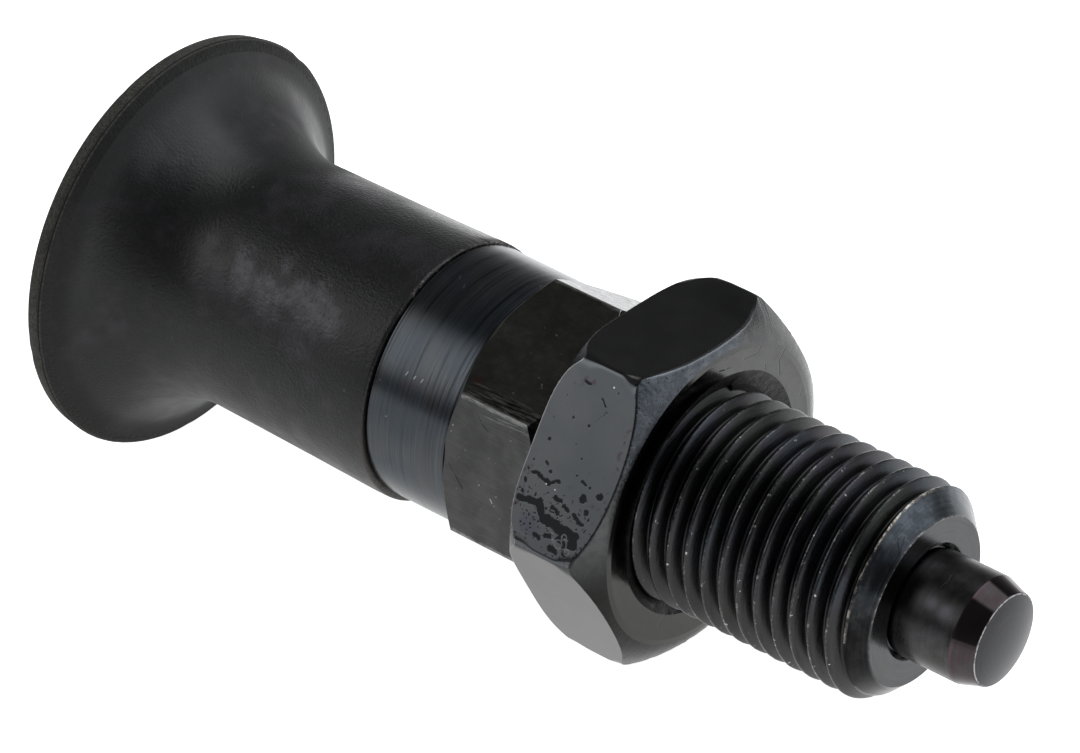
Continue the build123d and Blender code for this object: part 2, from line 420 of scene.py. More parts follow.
# the part's axes as the camera sees them (x right, y down, z away), and the bolt end's centre in mm
AX = Vector((0.76834961, 0.3719914, -0.52082749))
E1 = Vector((-0.4687776, -0.22695559, -0.85366195))
E2 = Vector((-0.43575961, 0.90006309, 0.0))
t = math.radians(-50.1877)
UP = E1 * math.cos(t) + E2 * math.sin(t)
SIDE = UP.cross(AX)
END = Vector((25.82691108, 15.09671115, 348.34240982))
origin = END - AX * 26.0
loc = Vector((-origin.dot(AX), -origin.dot(SIDE), -origin.dot(UP))) * MM
right = Vector((AX.x, SIDE.x, UP.x))
up = -Vector((AX.y, SIDE.y, UP.y))
back = -Vector((AX.z, SIDE.z, UP.z))
cam.matrix_world = Matrix((
    (right.x, up.x, back.x, loc.x),
    (right.y, up.y, back.y, loc.y),
    (right.z, up.z, back.z, loc.z),
    (0, 0, 0, 1),
))
bpy.context.scene.camera = cam


# ------------------------------------------------------------------ materials: blackened steel body
def mat_collar():
    g = Mat("collar_turned_black_oxide")
    ang = g.angle()
    uv = g.xyz(g.x, g.mul(ang, COLLAR_R), 0.0)
    broad = g.noise(g.p, 0.28, 2.0, 0.5)
    tone = g.mixc(g.smooth(broad, 0.38, 0.62), (0.066, 0.076, 0.086), (0.080, 0.085, 0.091))
    # turning lines run round the collar, uneven in depth and broken up along their length
    l1 = g.noise(g.along(3.4, 0.07), 1.0, 4.0, 0.72)
    l2 = g.noise(g.along(11.0, 0.16), 1.0, 2.0, 0.6)
    l3 = g.noise(g.along(2.1, 0.10), 1.0, 1.0, 0.5)
    dark = g.mul(g.smooth(l1, 0.485, 0.40), g.smooth(l3, 0.34, 0.55))
    dark = g.mul(dark, g.smooth(g.z, 1.7, 4.8, 0.35, 1.0))
    tone = g.mixc(g.mul(dark, 0.72), tone, (0.022, 0.025, 0.03))
    tone = g.scale(tone, g.lin(l2, 0.3, 0.7, 0.84, 1.16))
    # painted shade: the collar's upper side, about 40 to 92 degrees round, is darkened along the turning lines to dim
    # its reflection
    upper = g.mul(g.smooth(ang, math.radians(92), math.radians(76)), g.smooth(ang, math.radians(40), math.radians(58)))
    tone = g.scale(tone, g.mixf(upper, 1.0, g.smooth(l1, 0.40, 0.56, 0.42, 0.85)))
    # bright lines left beside the hexagon
    edge = g.smooth(g.x, -9.15, -8.75)
    rings = g.smooth(g.noise(g.along(7.0, 0.05), 1.0, 2.0, 0.6), 0.52, 0.62)
    tone = g.mixc(g.mul(g.mul(edge, rings), 0.55), tone, (0.13, 0.155, 0.19))
    # knocks and rubs: pale ticks and a purple bloom
    wu = g.warp(uv, 0.10, 5.0)
    r = COLLAR_R
    a = lambda deg: math.radians(deg) * r
    ticks = g.marks(wu, [(-13.02, a(149.9), -12.93, a(148.3), 0.03), (-12.28, a(149.9), -12.2, a(148.7), 0.035),
                         (-11.63, a(150.0), -11.56, a(148.4), 0.025), (-13.05, a(103.2), -12.85, a(105.0), 0.015),
                         (-13.9, a(100.0), -13.7, a(101.6), 0.012), (-14.9, a(156.5), 0.03), (-13.75, a(170.3), 0.035),
                         (-8.9, a(83.5), 0.05), (-9.6, a(88.0), 0.03), (-10.9, a(197), -10.6, a(197.5), 0.02)])
    tone = g.mixc(g.smooth(ticks, 0.035, -0.01, 0.0, 0.8), tone, (0.34, 0.34, 0.38))
    bloom = g.marks(wu, [(-12.76, a(153.3), 0.12), (-11.9, a(152.0), 0.05)])
    tone = g.mixc(g.smooth(bloom, 0.12, -0.05, 0.0, 0.7), tone, (0.10, 0.055, 0.10))
    rough = g.lin(l1, 0.25, 0.75, 0.15, 0.27)
    height = g.add(g.mul(l1, 0.6), g.mul(l2, 0.5))
    return g.finish(tone, rough, height, 0.35, 0.00003)


def mat_hex(name, alpha, base, marks_dark=(), marks_pale=(), bloom=(), streaks=(), rough=(0.13, 0.24)):
    g = Mat(name)
    uv = g.flat(alpha)
    # fine lengthwise drawing grain of the bar
    grain = g.noise(g.vec("MULTIPLY", uv, (0.35, 7.0, 1.0)), 1.0, 3.0, 0.6)
    cloud = g.noise(g.p, 0.45, 3.0, 0.55)
    speck = g.noise(g.p, 4.2, 2.0, 0.55)
    tone = g.mixc(g.smooth(cloud, 0.36, 0.66), tuple(c * 0.86 for c in base), tuple(c * 1.12 for c in base))
    tone = g.scale(tone, g.lin(grain, 0.3, 0.7, 0.88, 1.10))
    tone = g.mixc(g.smooth(speck, 0.70, 0.76, 0.0, 0.5), tone, (0.26, 0.26, 0.22))
    wu = g.warp(uv, 0.14, 3.5)
    if bloom:
        tone = g.mixc(g.smooth(g.marks(wu, bloom), 0.35, -0.2, 0.0, 0.8), tone, (0.12, 0.045, 0.035))
    # scratches that run along the bar beside its corners
    lines = g.noise(g.vec("MULTIPLY", uv, (0.5, 6.5, 1.0)), 1.0, 3.0, 0.7)
    for v0, v1, x0, x1, amount, dark in streaks:
        band = g.mul(g.smooth(uv_v(g, uv), v0, v0 + 0.25), g.smooth(uv_v(g, uv), v1, v1 - 0.12))
        band = g.mul(band, g.mul(g.smooth(g.x, x0 - 0.3, x0 + 0.5), g.smooth(g.x, x1 + 0.4, x1 - 0.4)))
        tone = g.mixc(g.mul(band, g.smooth(lines, 0.50, 0.60, 0.0, amount)), tone, (0.28, 0.28, 0.27))
        tone = g.mixc(g.mul(band, g.smooth(lines, 0.48, 0.38, 0.0, dark)), tone, (0.012, 0.012, 0.012))
    if marks_dark:
        tone = g.mixc(g.smooth(g.marks(wu, marks_dark), 0.05, -0.04, 0.0, 0.85), tone, (0.018, 0.017, 0.013))
    if marks_pale:
        tone = g.mixc(g.smooth(g.marks(wu, marks_pale), 0.05, -0.03), tone, (0.42, 0.42, 0.40))
    # the corners are rubbed through to bright metal
    rr = g.r()
    worn = g.noise(g.along(0.9, 0.9), 1.0, 4.0, 0.7)
    corner = g.smooth(g.add(rr, g.mul(g.sub(worn, 0.5), 0.24)), 10.82, 10.93)
    ends = g.smooth(g.math("ABSOLUTE", g.add(g.x, HEX_LEN / 2)), 4.3, 1.0, 1.0, 0.75)
    broken = g.smooth(g.noise(g.vec("MULTIPLY", g.p, (0.9, 5.0, 5.0)), 1.0, 3.0, 0.7), 0.40, 0.58, 0.25, 0.85)
    tone = g.mixc(g.mul(corner, g.mul(ends, broken)), tone, (0.36, 0.36, 0.36))
    ro = g.lin(g.noise(g.p, 1.6, 3.0, 0.6), 0.3, 0.7, rough[0], rough[1])
    ro = g.mixf(corner, ro, 0.34)
    height = g.add(g.mul(grain, 0.5), g.mul(speck, 0.3))
    return g.finish(tone, ro, height, 0.30, 0.00003)


def uv_v(g, uv):
    n = g.new("ShaderNodeSeparateXYZ")
    g.put(n.inputs[0], uv)
    return n.outputs[1]


def torn_edge(g, rr):
    """How much a point belongs to the rubbed, torn edge where the last thread runs out on the lead-in chamfer."""
    turn = g.math("FRACT", g.add(g.sub(g.math("DIVIDE", g.sub(g.x, VALLEY_X), PITCH), g.mul(g.angle(), 1 / (2 * math.pi))), 20.5))
    u = g.mul(g.math("ABSOLUTE", g.sub(turn, 0.5)), PITCH)
    tr = g.lin(u, 0.10, 0.645, 7.135, 7.965)
    cone = g.sub(8.0, g.mul(g.sub(g.x, 24.3), 1.0294))
    e = g.math("ABSOLUTE", g.sub(tr, cone))
    torn = g.noise(g.p, 2.4, 4.0, 0.75)
    ang = g.angle()
    past = g.sub(g.x, g.add(24.30, g.mul(ang, 0.1421)))
    edge = g.smooth(g.add(e, g.mul(g.sub(torn, 0.5), 0.9)), 0.40, 0.18)
    edge = g.mul(edge, g.mul(g.smooth(past, -0.32, -0.16), g.smooth(past, 0.30, 0.14)))
    top = g.mul(g.smooth(ang, math.radians(62), math.radians(82)), g.smooth(ang, math.radians(175), math.radians(120), 0.25, 1.0))
    low = g.smooth(ang, math.radians(20), math.radians(-20), 0.0, 0.25)
    bits = g.smooth(g.noise(g.p, 1.5, 2.0, 0.5), 0.40, 0.56, 0.22, 1.0)
    return g.mul(g.mul(edge, bits), g.mx(g.mul(top, g.smooth(torn, 0.40, 0.54, 0.15, 1.0)), low)), torn


def mat_thread():
    g = Mat("thread_black_oxide")
    rr = g.r()
    tint = g.noise(g.p, 0.22, 2.0, 0.5)
    tone = g.mixc(g.smooth(tint, 0.40, 0.52), (0.031, 0.034, 0.031), (0.036, 0.033, 0.039))
    tone = g.mixc(g.smooth(tint, 0.50, 0.66), tone, (0.037, 0.042, 0.048))
    tone = g.mixc(g.smooth(g.z, 4.5, -1.0, 0.0, 0.85), tone, (0.0345, 0.0338, 0.0338))
    line = g.noise(g.along(5.0, 0.25), 1.0, 3.0, 0.6)
    tone = g.scale(tone, g.lin(line, 0.3, 0.7, 0.8, 1.25))
    # crests: a thin bright, broken line where the black has rubbed off
    run = g.noise(g.p, 0.75, 3.0, 0.65)
    dots = g.noise(g.p, 5.5, 2.0, 0.6)
    wear = g.mul(g.smooth(g.add(rr, g.mul(g.sub(dots, 0.5), 0.10)), 7.94, 7.99), g.smooth(run, 0.46, 0.68, 0.10, 0.75))
    wear = g.mul(wear, g.smooth(dots, 0.40, 0.64, 0.15, 1.0))
    tone = g.mixc(wear, tone, (0.34, 0.33, 0.31))
    nick = g.mul(g.smooth(g.noise(g.p, 2.6, 2.0, 0.5), 0.70, 0.74), g.smooth(rr, 7.6, 7.9))
    tone = g.mixc(g.mul(nick, 0.8), tone, (0.5, 0.49, 0.46))
    # painted shade: the thread roots are drawn up to a quarter darker
    root = g.smooth(rr, 7.45, 7.10)
    tone = g.scale(tone, g.sub(1.0, g.mul(root, 0.25)))
    first, torn = torn_edge(g, rr)
    tone = g.mixc(first, tone, g.mixc(g.smooth(torn, 0.4, 0.6), (0.40, 0.32, 0.24), (0.66, 0.63, 0.57)))
    ro = g.lin(line, 0.25, 0.75, 0.22, 0.36)
    return g.finish(tone, ro, g.add(line, g.mul(dots, 0.5)), 0.35, 0.00004)


def mat_end():
    g = Mat("thread_end_turned")
    rr = g.r()
    rings = g.noise(g.xyz(g.mul(rr, 5.0), g.mul(g.y, 0.08), g.mul(g.z, 0.08)), 1.0, 3.0, 0.65)
    fine = g.noise(g.xyz(g.mul(rr, 16.0), g.mul(g.y, 0.3), g.mul(g.z, 0.3)), 1.0, 2.0, 0.6)
    cloud = g.noise(g.p, 0.5, 2.0, 0.5)
    tone = g.mixc(g.smooth(cloud, 0.38, 0.64), (0.057, 0.060, 0.064), (0.056, 0.056, 0.057))
    tone = g.mixc(g.smooth(rings, 0.42, 0.32, 0.0, 0.6), tone, (0.03, 0.032, 0.036))
    tone = g.scale(tone, g.lin(fine, 0.3, 0.7, 0.86, 1.12))
    # the lead-in chamfer is streaked; its colour is painted light and shade: near-black towards the bottom as painted
    # shade, a lighter blue towards the top as a painted reflection
    cone = g.smooth(rr, 6.25, 6.40)
    tone = g.mixc(cone, tone, g.scale(g.mixc(g.smooth(g.z, 0.5, 6.0), (0.012, 0.012, 0.012), (0.052, 0.059, 0.067)), g.lin(rings, 0.3, 0.7, 0.65, 1.35)))
    spots = g.smooth(g.noise(g.p, 1.1, 3.0, 0.6), 0.44, 0.62)
    tone = g.scale(tone, g.mixf(g.mul(cone, 1.0), 1.0, g.lin(spots, 0.0, 1.0, 0.78, 1.2)))
    rub = g.noise(g.p, 3.0, 3.0, 0.7)
    # pale ring at the edge of the end face: partly a rubbed edge, partly a painted highlight, made stronger towards the
    # top
    lip = g.mul(g.smooth(rr, 6.16, 6.24), g.smooth(rr, 6.36, 6.28))
    lip = g.mul(lip, g.smooth(g.z, -1.0, 4.0, 0.15, 0.8))
    tone = g.mixc(g.mul(lip, g.smooth(rub, 0.50, 0.64, 0.0, 0.6)), tone, (0.34, 0.34, 0.33))
    wu = g.warp(g.xyz(g.y, g.z, 0.0), 0.12, 2.5)
    pol = lambda R, A: (R * math.cos(math.radians(A)), R * math.sin(math.radians(A)))
    cuts = g.marks(wu, [(*pol(7.0, 114.5), *pol(6.45, 122), 0.02), (*pol(6.8, 111), *pol(6.45, 121.5), 0.01)])
    tone = g.mixc(g.smooth(cuts, 0.06, -0.02, 0.0, 0.85), tone, (0.02, 0.021, 0.023))
    first, torn = torn_edge(g, rr)
    tone = g.mixc(first, tone, g.mixc(g.smooth(torn, 0.4, 0.6), (0.40, 0.32, 0.24), (0.66, 0.63, 0.57)))
    return g.finish(tone, g.mixf(first, g.lin(rings, 0.3, 0.7, 0.15, 0.28), 0.4), g.add(rings, g.mul(fine, 0.4)), 0.3, 0.00003)


def mat_bore():
    g = Mat("bores_dark_steel")
    n = g.noise(g.along(4.0, 0.3), 1.0, 3.0, 0.6)
    tone = g.mixc(n, (0.010, 0.010, 0.010), (0.026, 0.025, 0.023))
    return g.finish(tone, g.lin(n, 0.3, 0.7, 0.4, 0.6), n, 0.4, 0.00004)


M_collar = mat_collar()
M_hex = mat_hex("hexagon_black_oxide", 56, (0.072, 0.072, 0.073), rough=(0.18, 0.30))
M_hex_up = mat_hex("hexagon_black_oxide_upper", 116, (0.094, 0.092, 0.080),
                   marks_pale=[(-5.43, -1.75, 0.04), (-4.35, -1.63, -4.25, -1.6, 0.03), (-7.93, 0.37, 0.02), (-8.3, -0.75, 0.02),
                               (-4.09, 3.7, 0.05), (-2.71, 2.15, -2.5, 2.45, 0.03), (-3.21, 1.84, 0.05), (-5.0, 0.4, 0.02),
                               (-3.0, -0.5, 0.02), (-6.1, 2.2, 0.02)],
                   bloom=[(-7.02, 3.98, 0.12), (-6.7, 4.2, 0.1)],
                   streaks=[(4.0, 5.48, -7.2, -0.2, 0.75, 0.9)], rough=(0.14, 0.26))
M_hex_side = mat_hex("hexagon_black_oxide_side", 176, (0.071, 0.071, 0.070),
                     marks_dark=[(-5.72, -4.5, -5.35, -3.95, 0.02), (-5.35, -3.95, -4.75, -3.65, 0.035), (-5.3, -4.3, -5.05, -3.9, 0.01),
                                 (-7.95, 0.3, -7.3, 1.0, 0.02), (-7.3, 1.0, -6.55, 1.75, 0.04), (-6.55, -0.28, -5.95, 0.08, 0.005)],
                     marks_pale=[(-7.84, -2.81, 0.03), (-7.98, -2.27, 0.03), (-5.15, 0.83, 0.03), (-5.3, 0.6, 0.0), (-3.59, 1.09, 0.02),
                                 (-4.1, 1.5, -3.9, 1.75, 0.02), (-3.7, 1.9, 0.02), (-2.73, -3.78, 0.02)],
                     streaks=[(-5.5, -4.55, -5.2, -0.3, 0.35, 0.2)], rough=(0.12, 0.2))
M_thread, M_end, M_bore = mat_thread(), mat_end(), mat_bore()

# ------------------------------------------------------------------ threaded body
body_cols = hex_columns(HEX_AT, HEX_AF, HEX_RHO, 2.1)
BODY_ZONE = [3, 3, 3, 4, 4, 4, 4, 4, 4, 4, 4, 0, 0, 0, 0, 1, 1, 1, 2, 2]


def chord(al, a1, r1, a2, r2):
    s = lambda d: math.sin(math.radians(d))
    return r1 * r2 * s(a2 - a1) / (r1 * s(al - a1) + r2 * s(a2 - al))


def body_r(al):
    """The hexagon, its far upper corner standing a little further out than the others."""
    r = hex_radius(al, HEX_AF, HEX_AT, HEX_RHO)
    c = HEX_AF / 2 / math.cos(math.radians(30))
    d = (al + 34.0) % 360.0 - 34.0
    if 26.0 <= d < 86.0:
        r *= chord(d, 26.0, c + 0.24, 86.0, c) / chord(d, 26.0, c, 86.0, c)
    elif -34.0 <= d < 26.0:
        r *= chord(d, -34.0, c, 26.0, c + 0.24) / chord(d, -34.0, c, 26.0, c)
    return r


def body_place(p, r, al):
    k = smooth(-9.0, -11.5, p[0]) * smooth(9.0, 9.4, r) * (0.05 + 0.05 * math.cos(math.radians(al - 60.0)))
    return (p[0], p[1] + k * math.cos(math.radians(al)), p[2] + k * math.sin(math.radians(al)))


def body_line(i):
    al = body_cols[i]
    rh = body_r(al)
    xr = -HEX_LEN + max(rh - 9.58, 0.0) * 0.80
    xf = -(rh - 9.1) * 0.80
    pts = [(25.85, 6.404), (26.0, 6.25), (26.0, 4.32), (25.7, 4.02), (16.0, 4.02), (16.0, 5.5), (-9.7, 5.5), (-9.7, 6.0),
           (-14.92, 6.0), (-14.92, 5.7), (COLLAR_END, 5.7), (COLLAR_END, 9.53), (COLLAR_END + 0.09, COLLAR_R), (-HEX_LEN, COLLAR_R),
           (-HEX_LEN, min(rh, 9.58)), (xr, rh), (xf, rh), (0.0, 9.1), (0.0, 6.9), (1.40, 6.9)]
    rad = [0, 0.06, 0.05, 0.05, 0.05, 0, 0, 0, 0, 0, 0.05, 0.05, 0.06, 0.02, 0.02, 0.07, 0.09, 0.05, 0.05, 0]
    return rounded(pts, rad, 4)


def body_zone(seg, al):
    # segments of body_line: 0-1 end, 2-9 bores, 10-12 collar, 13-16 hexagon, 17-18 shoulder and relief
    if seg <= 2:
        return 3
    if seg <= 9:
        return 4
    if seg <= 12:
        return 0
    if seg <= 16:
        k = round(((al - 56.0) % 360.0) / 60.0) % 6
        return {1: 5, 2: 6}.get(k, 1)
    return 2


def thread_surface(x, s, al):
    d = thread_depth(s)
    r = CREST_R - (CREST_R - ROOT_R) * d
    if d < 0.05 and x > 8.0:
        r -= 0.018 + 0.018 * wob(al * 0.55, x * 0.7, 3.0)
    if x > 23.6:
        cone = 8.0 - (x - 24.3) * 1.0294
        cone += 0.035 * wob(al * 0.35, 1.7, 8.0) * smooth(25.2, 24.4, x)
        r = min(r, cone)
    if x < 2.9:
        r = min(r, 6.9 + (x - 1.40) * 1.0)
    return r


body = lathe_with_thread("threaded_body_steel", body_cols, body_line, THREAD_X0, THREAD_X1, thread_surface,
                         [M_collar, M_hex, M_thread, M_end, M_bore, M_hex_up, M_hex_side], body_zone, 2, body_place, 50)
# the lead-in chamfer has the end's turned finish
me = body.data
for poly in me.polygons:
    if poly.material_index == 2:
        c = poly.center
        rad = math.hypot(c.y, c.z) * 1000
        if c.x > 0.02435 and poly.normal.x > 0.55 and poly.normal.x < 0.80 and abs(rad - (8.0 - (c.x * 1000 - 24.3) * 1.0294)) < 0.06:
            poly.material_index = 3
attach(body, "body")
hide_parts("threaded_body")


# ------------------------------------------------------------------ lock nut
def mat_nut_side():
    """The lower left flat: smooth, pitted, with a black patch of scale near its lower corner."""
    g = Mat("nut_flat_pitted")
    uv = g.flat(150)
    cloud = g.noise(g.p, 0.3, 2.0, 0.5)
    tone = g.mixc(g.smooth(cloud, 0.35, 0.65), (0.102, 0.109, 0.116), (0.112, 0.118, 0.124))
    tone = g.mixc(g.smooth(g.attr("haze"), 0.4, -0.1, 0.0, 0.55), tone, (0.080, 0.082, 0.112))
    # purple-brown bloom close to the flat's edges
    rim = g.noise(g.p, 2.2, 3.0, 0.65)
    near = g.smooth(g.attr("bloom"), 0.45, 0.0)
    tone = g.mixc(g.mul(near, g.smooth(rim, 0.52, 0.64, 0.0, 0.8)), tone, (0.075, 0.058, 0.072))
    gap = g.attr("front_gap")
    close = g.add(g.smooth(uv_v(g, uv), 0.8, 3.2, 0.0, 0.075), g.smooth(gap, 0.55, 0.05, 0.0, 0.11))
    dust = g.smooth(g.add(g.noise(g.p, 3.1, 3.0, 0.55), close), 0.70, 0.735, 0.0, 0.85)
    grey = (0.022, 0.023, 0.026)
    black = g.mx(g.smooth(g.add(g.attr("scale_big"), g.mul(g.sub(g.noise(g.p, 4.5, 3.0, 0.7), 0.5), 0.22)), 0.04, -0.04),
                 g.smooth(g.attr("scale_small"), 0.035, -0.03, 0.0, 0.95))
    tone = g.mixc(g.mx(g.mul(black, 0.97), dust), tone, grey)
    tone = g.mixc(g.smooth(g.math("ABSOLUTE", g.attr("scale_ring")), 0.07, 0.02, 0.0, 0.7), tone, (0.19, 0.19, 0.20))
    tone = g.mixc(g.smooth(gap, 0.10, 0.04, 0.0, 0.9), tone, (0.016, 0.017, 0.019))
    # painted highlights: three small near-white glints on the flat
    painted_glint = g.marks(uv, [(4.5, -5.95, 0.03), (3.0, 2.1, 0.02), (2.2, 2.0, 0.02)])
    tone = g.mixc(g.smooth(painted_glint, 0.05, 0.0), tone, (0.85, 0.85, 0.85))
    # the corner under the flat is rubbed pale
    worn = g.noise(g.p, 1.3, 3.0, 0.6)
    back_edge = g.smooth(rear_gap(g, worn), 0.05, -0.03)
    tone = g.mixc(g.mul(back_edge, 0.85), tone, (0.30, 0.30, 0.31))
    ro = g.mixf(black, g.lin(rim, 0.3, 0.7, 0.09, 0.15), 0.30)
    height = g.add(g.mul(g.sub(1.0, black), 1.0), g.mul(cloud, 0.5))
    return g.finish(tone, ro, height, 0.25, 0.00003)


def rear_gap(g, worn):
    """Axial distance to the rear chamfer, over the flat (negative on the chamfer)."""
    y = g.sub(g.y, NUT_OFF[0])
    z = g.sub(g.z, NUT_OFF[1])
    rr = g.math("SQRT", g.add(g.mul(y, y), g.mul(z, z)))
    e = g.mx(g.sub(rr, 11.875), 0.0)
    xr = g.add(g.mul(g.math("POWER", e, 2.2), 0.379), g.mul(g.mx(g.sub(rr, 13.1), 0.0), 0.35))
    return g.sub(g.sub(g.x, g.add(xr, 0.05)), g.mul(g.sub(worn, 0.5), 0.10))


def mat_nut_flat(name, base, rough, specks=0.5):
    g = Mat(name)
    cloud = g.noise(g.p, 0.35, 3.0, 0.5)
    tone = g.mixc(g.smooth(cloud, 0.36, 0.66), tuple(c * 0.92 for c in base), tuple(c * 1.08 for c in base))
    fine = g.noise(g.p, 5.0, 3.0, 0.6)
    tone = g.scale(tone, g.lin(fine, 0.3, 0.7, 0.94, 1.06))
    pits = g.smooth(g.noise(g.p, 2.4, 2.0, 0.5), 0.715, 0.75, 0.0, specks)
    tone = g.mixc(pits, tone, (0.02, 0.02, 0.022))
    worn = g.noise(g.p, 1.3, 3.0, 0.6)
    tone = g.mixc(g.smooth(rear_gap(g, worn), 0.05, -0.03, 0.0, 0.8), tone, (0.28, 0.28, 0.29))
    # a pale blue-grey band along the front edge of the top flat, rougher: partly a rubbed edge, partly a painted
    # highlight
    ang = g.math("ARCTAN2", g.sub(g.z, NUT_OFF[1]), g.sub(g.y, NUT_OFF[0]))
    top = g.mul(g.smooth(ang, math.radians(62), math.radians(68)), g.smooth(ang, math.radians(118), math.radians(112)))
    rag = g.noise(g.p, 2.4, 3.0, 0.65)
    rim = g.mul(g.smooth(g.add(g.attr("front_gap"), g.mul(g.sub(rag, 0.5), 0.22)), 0.27, 0.17), top)
    tone = g.mixc(rim, tone, (0.125, 0.132, 0.142))
    ro = g.mixf(rim, g.lin(cloud, 0.3, 0.7, rough[0], rough[1]), 0.30)
    return g.finish(tone, ro, g.add(fine, g.mul(cloud, 0.8)), 0.12, 0.00003)


def mat_nut_chamfer():
    g = Mat("nut_chamfer_rough")
    grain = g.noise(g.p, 4.6, 4.0, 0.75)
    mid = g.noise(g.p, 1.4, 3.0, 0.6)
    y, z = g.sub(g.y, NUT_OFF[0]), g.sub(g.z, NUT_OFF[1])
    ang = g.math("ARCTAN2", z, y)
    deg = math.radians
    # grainy beside the top flat and its left corner, where a lighter blue-grey is painted in as a reflection; plain
    # grey elsewhere, with painted shade darkening it towards the bottom
    blue = g.mul(g.smooth(ang, deg(70), deg(88)), g.smooth(ang, deg(160), deg(130)))
    plain = g.mixc(g.smooth(mid, 0.36, 0.64), (0.056, 0.057, 0.057), (0.070, 0.071, 0.071))
    plain = g.mixc(g.smooth(g.z, 3.0, -3.0), plain, (0.016, 0.016, 0.015))
    tone = g.mixc(blue, plain, g.mixc(g.smooth(mid, 0.36, 0.64), (0.074, 0.083, 0.095), (0.108, 0.119, 0.134)))
    much = g.mixf(blue, 0.35, 1.0)
    tone = g.mixc(g.mul(g.smooth(grain, 0.46, 0.34, 0.0, 0.85), much), tone, (0.026, 0.029, 0.035))
    tone = g.mixc(g.mul(g.smooth(grain, 0.60, 0.72, 0.0, 0.6), much), tone, (0.17, 0.185, 0.205))
    # a rubbed rim beside the top flat, pale blue-grey and partly a painted highlight; a dark line beside the lower left
    # one
    gap = g.add(g.attr("front_gap"), g.mul(g.sub(g.noise(g.p, 2.6, 3.0, 0.7), 0.5), 0.12))
    top = g.mul(g.smooth(ang, deg(62), deg(70)), g.smooth(ang, deg(119), deg(114)))
    left = g.mul(g.smooth(ang, deg(118), deg(123)), g.smooth(ang, deg(184), deg(176)))
    tone = g.mixc(g.mul(g.smooth(gap, -0.16, -0.05), g.mul(top, 0.6)), tone, (0.22, 0.235, 0.25))
    tone = g.mixc(g.mul(g.smooth(gap, -0.15, -0.06), g.mul(left, 0.9)), tone, (0.014, 0.015, 0.017))
    ro = g.lin(grain, 0.3, 0.7, g.mixf(blue, 0.17, 0.24), g.mixf(blue, 0.27, 0.42))
    return g.finish(tone, ro, g.mul(g.add(grain, g.mul(mid, 0.8)), g.mixf(blue, 0.45, 1.0)), 0.55, 0.00007)


def mat_nut_sink():
    # painted shade: the countersink is drawn as a near-black non-metal in place of steel, standing in for the shade in
    # the nut's mouth
    g = Mat("nut_countersink_painted_shade", metallic=0.0)
    n = g.noise(g.p, 1.8, 3.0, 0.65)
    # painted highlights: pale flecks as glints, stronger towards the top
    painted_glint_flecks = g.smooth(g.noise(g.p, 3.4, 2.0, 0.5), 0.66, 0.72)
    tone = g.mixc(g.smooth(n, 0.36, 0.64), (0.0035, 0.0035, 0.0035), (0.0100, 0.0095, 0.0090))
    tone = g.mixc(g.mul(painted_glint_flecks, g.smooth(g.z, 4.0, 7.0, 0.15, 0.8)), tone, (0.16, 0.15, 0.13))
    g.b.inputs["Specular IOR Level"].default_value = 0.28
    return g.finish(tone, g.lin(n, 0.3, 0.7, 0.32, 0.55), n, 0.6, 0.0001)


def mat_nut_face():
    g = Mat("nut_face_smooth")
    y, z = g.sub(g.y, NUT_OFF[0]), g.sub(g.z, NUT_OFF[1])
    uv = g.xyz(g.y, g.z, 0.0)
    wu = g.warp(uv, 0.22, 1.6)
    cloud = g.noise(g.p, 0.4, 2.0, 0.5)
    tone = g.mixc(g.smooth(cloud, 0.36, 0.66), (0.061, 0.061, 0.060), (0.070, 0.070, 0.069))
    # painted shade: the face is drawn darker towards the bottom
    tone = g.mixc(g.smooth(g.z, 2.0, -5.0), tone, (0.050, 0.050, 0.047))
    pol = lambda R, A: (R * math.cos(math.radians(A)), R * math.sin(math.radians(A)))
    lines = []
    for path, w in (([(12.66, 67.4), (11.76, 64.4), (10.67, 66.5), (10.37, 74.4)], 0.03), ([(11.49, 48.3), (10.53, 49.0), (9.75, 43.4)], 0.05),
                    ([(9.92, 57.8), (9.51, 55.9)], 0.04), ([(10.75, 22.5), (10.4, 20.8)], 0.05), ([(8.95, 238.6), (9.76, 237.7)], 0.03),
                    ([(11.9, 75.0), (11.2, 80.0), (11.0, 88.0)], 0.015), ([(12.3, 60.0), (11.9, 57.0)], 0.015),
                    ([(11.6, 52.5), (11.3, 54.5)], 0.02), ([(10.1, 83.0), (10.25, 90.0)], 0.02), ([(10.9, 130.0), (10.6, 133.0)], 0.02)):
        for p0, p1 in zip(path, path[1:]):
            lines.append((*pol(*p0), *pol(*p1), w))
    d = g.marks(wu, lines)
    tone = g.mixc(g.smooth(d, 0.045, -0.02, 0.0, 0.85), tone, (0.022, 0.022, 0.024))
    fine = g.noise(g.p, 3.2, 3.0, 0.6)
    tone = g.scale(tone, g.lin(fine, 0.3, 0.7, 0.93, 1.07))
    ro = g.lin(g.noise(g.p, 1.2, 3.0, 0.6), 0.3, 0.7, 0.11, 0.19)
    height = g.add(g.mul(fine, 0.25), g.smooth(d, 0.06, -0.02, 1.0, 0.0))
    return g.finish(tone, ro, height, 0.25, 0.00004)


M_nut_side = mat_nut_side()
M_nut_flat = mat_nut_flat("nut_flat_smooth", (0.074, 0.074, 0.073), (0.10, 0.16))
M_nut_chamfer = mat_nut_chamfer()
M_nut_face = mat_nut_face()
M_nut_sink = mat_nut_sink()

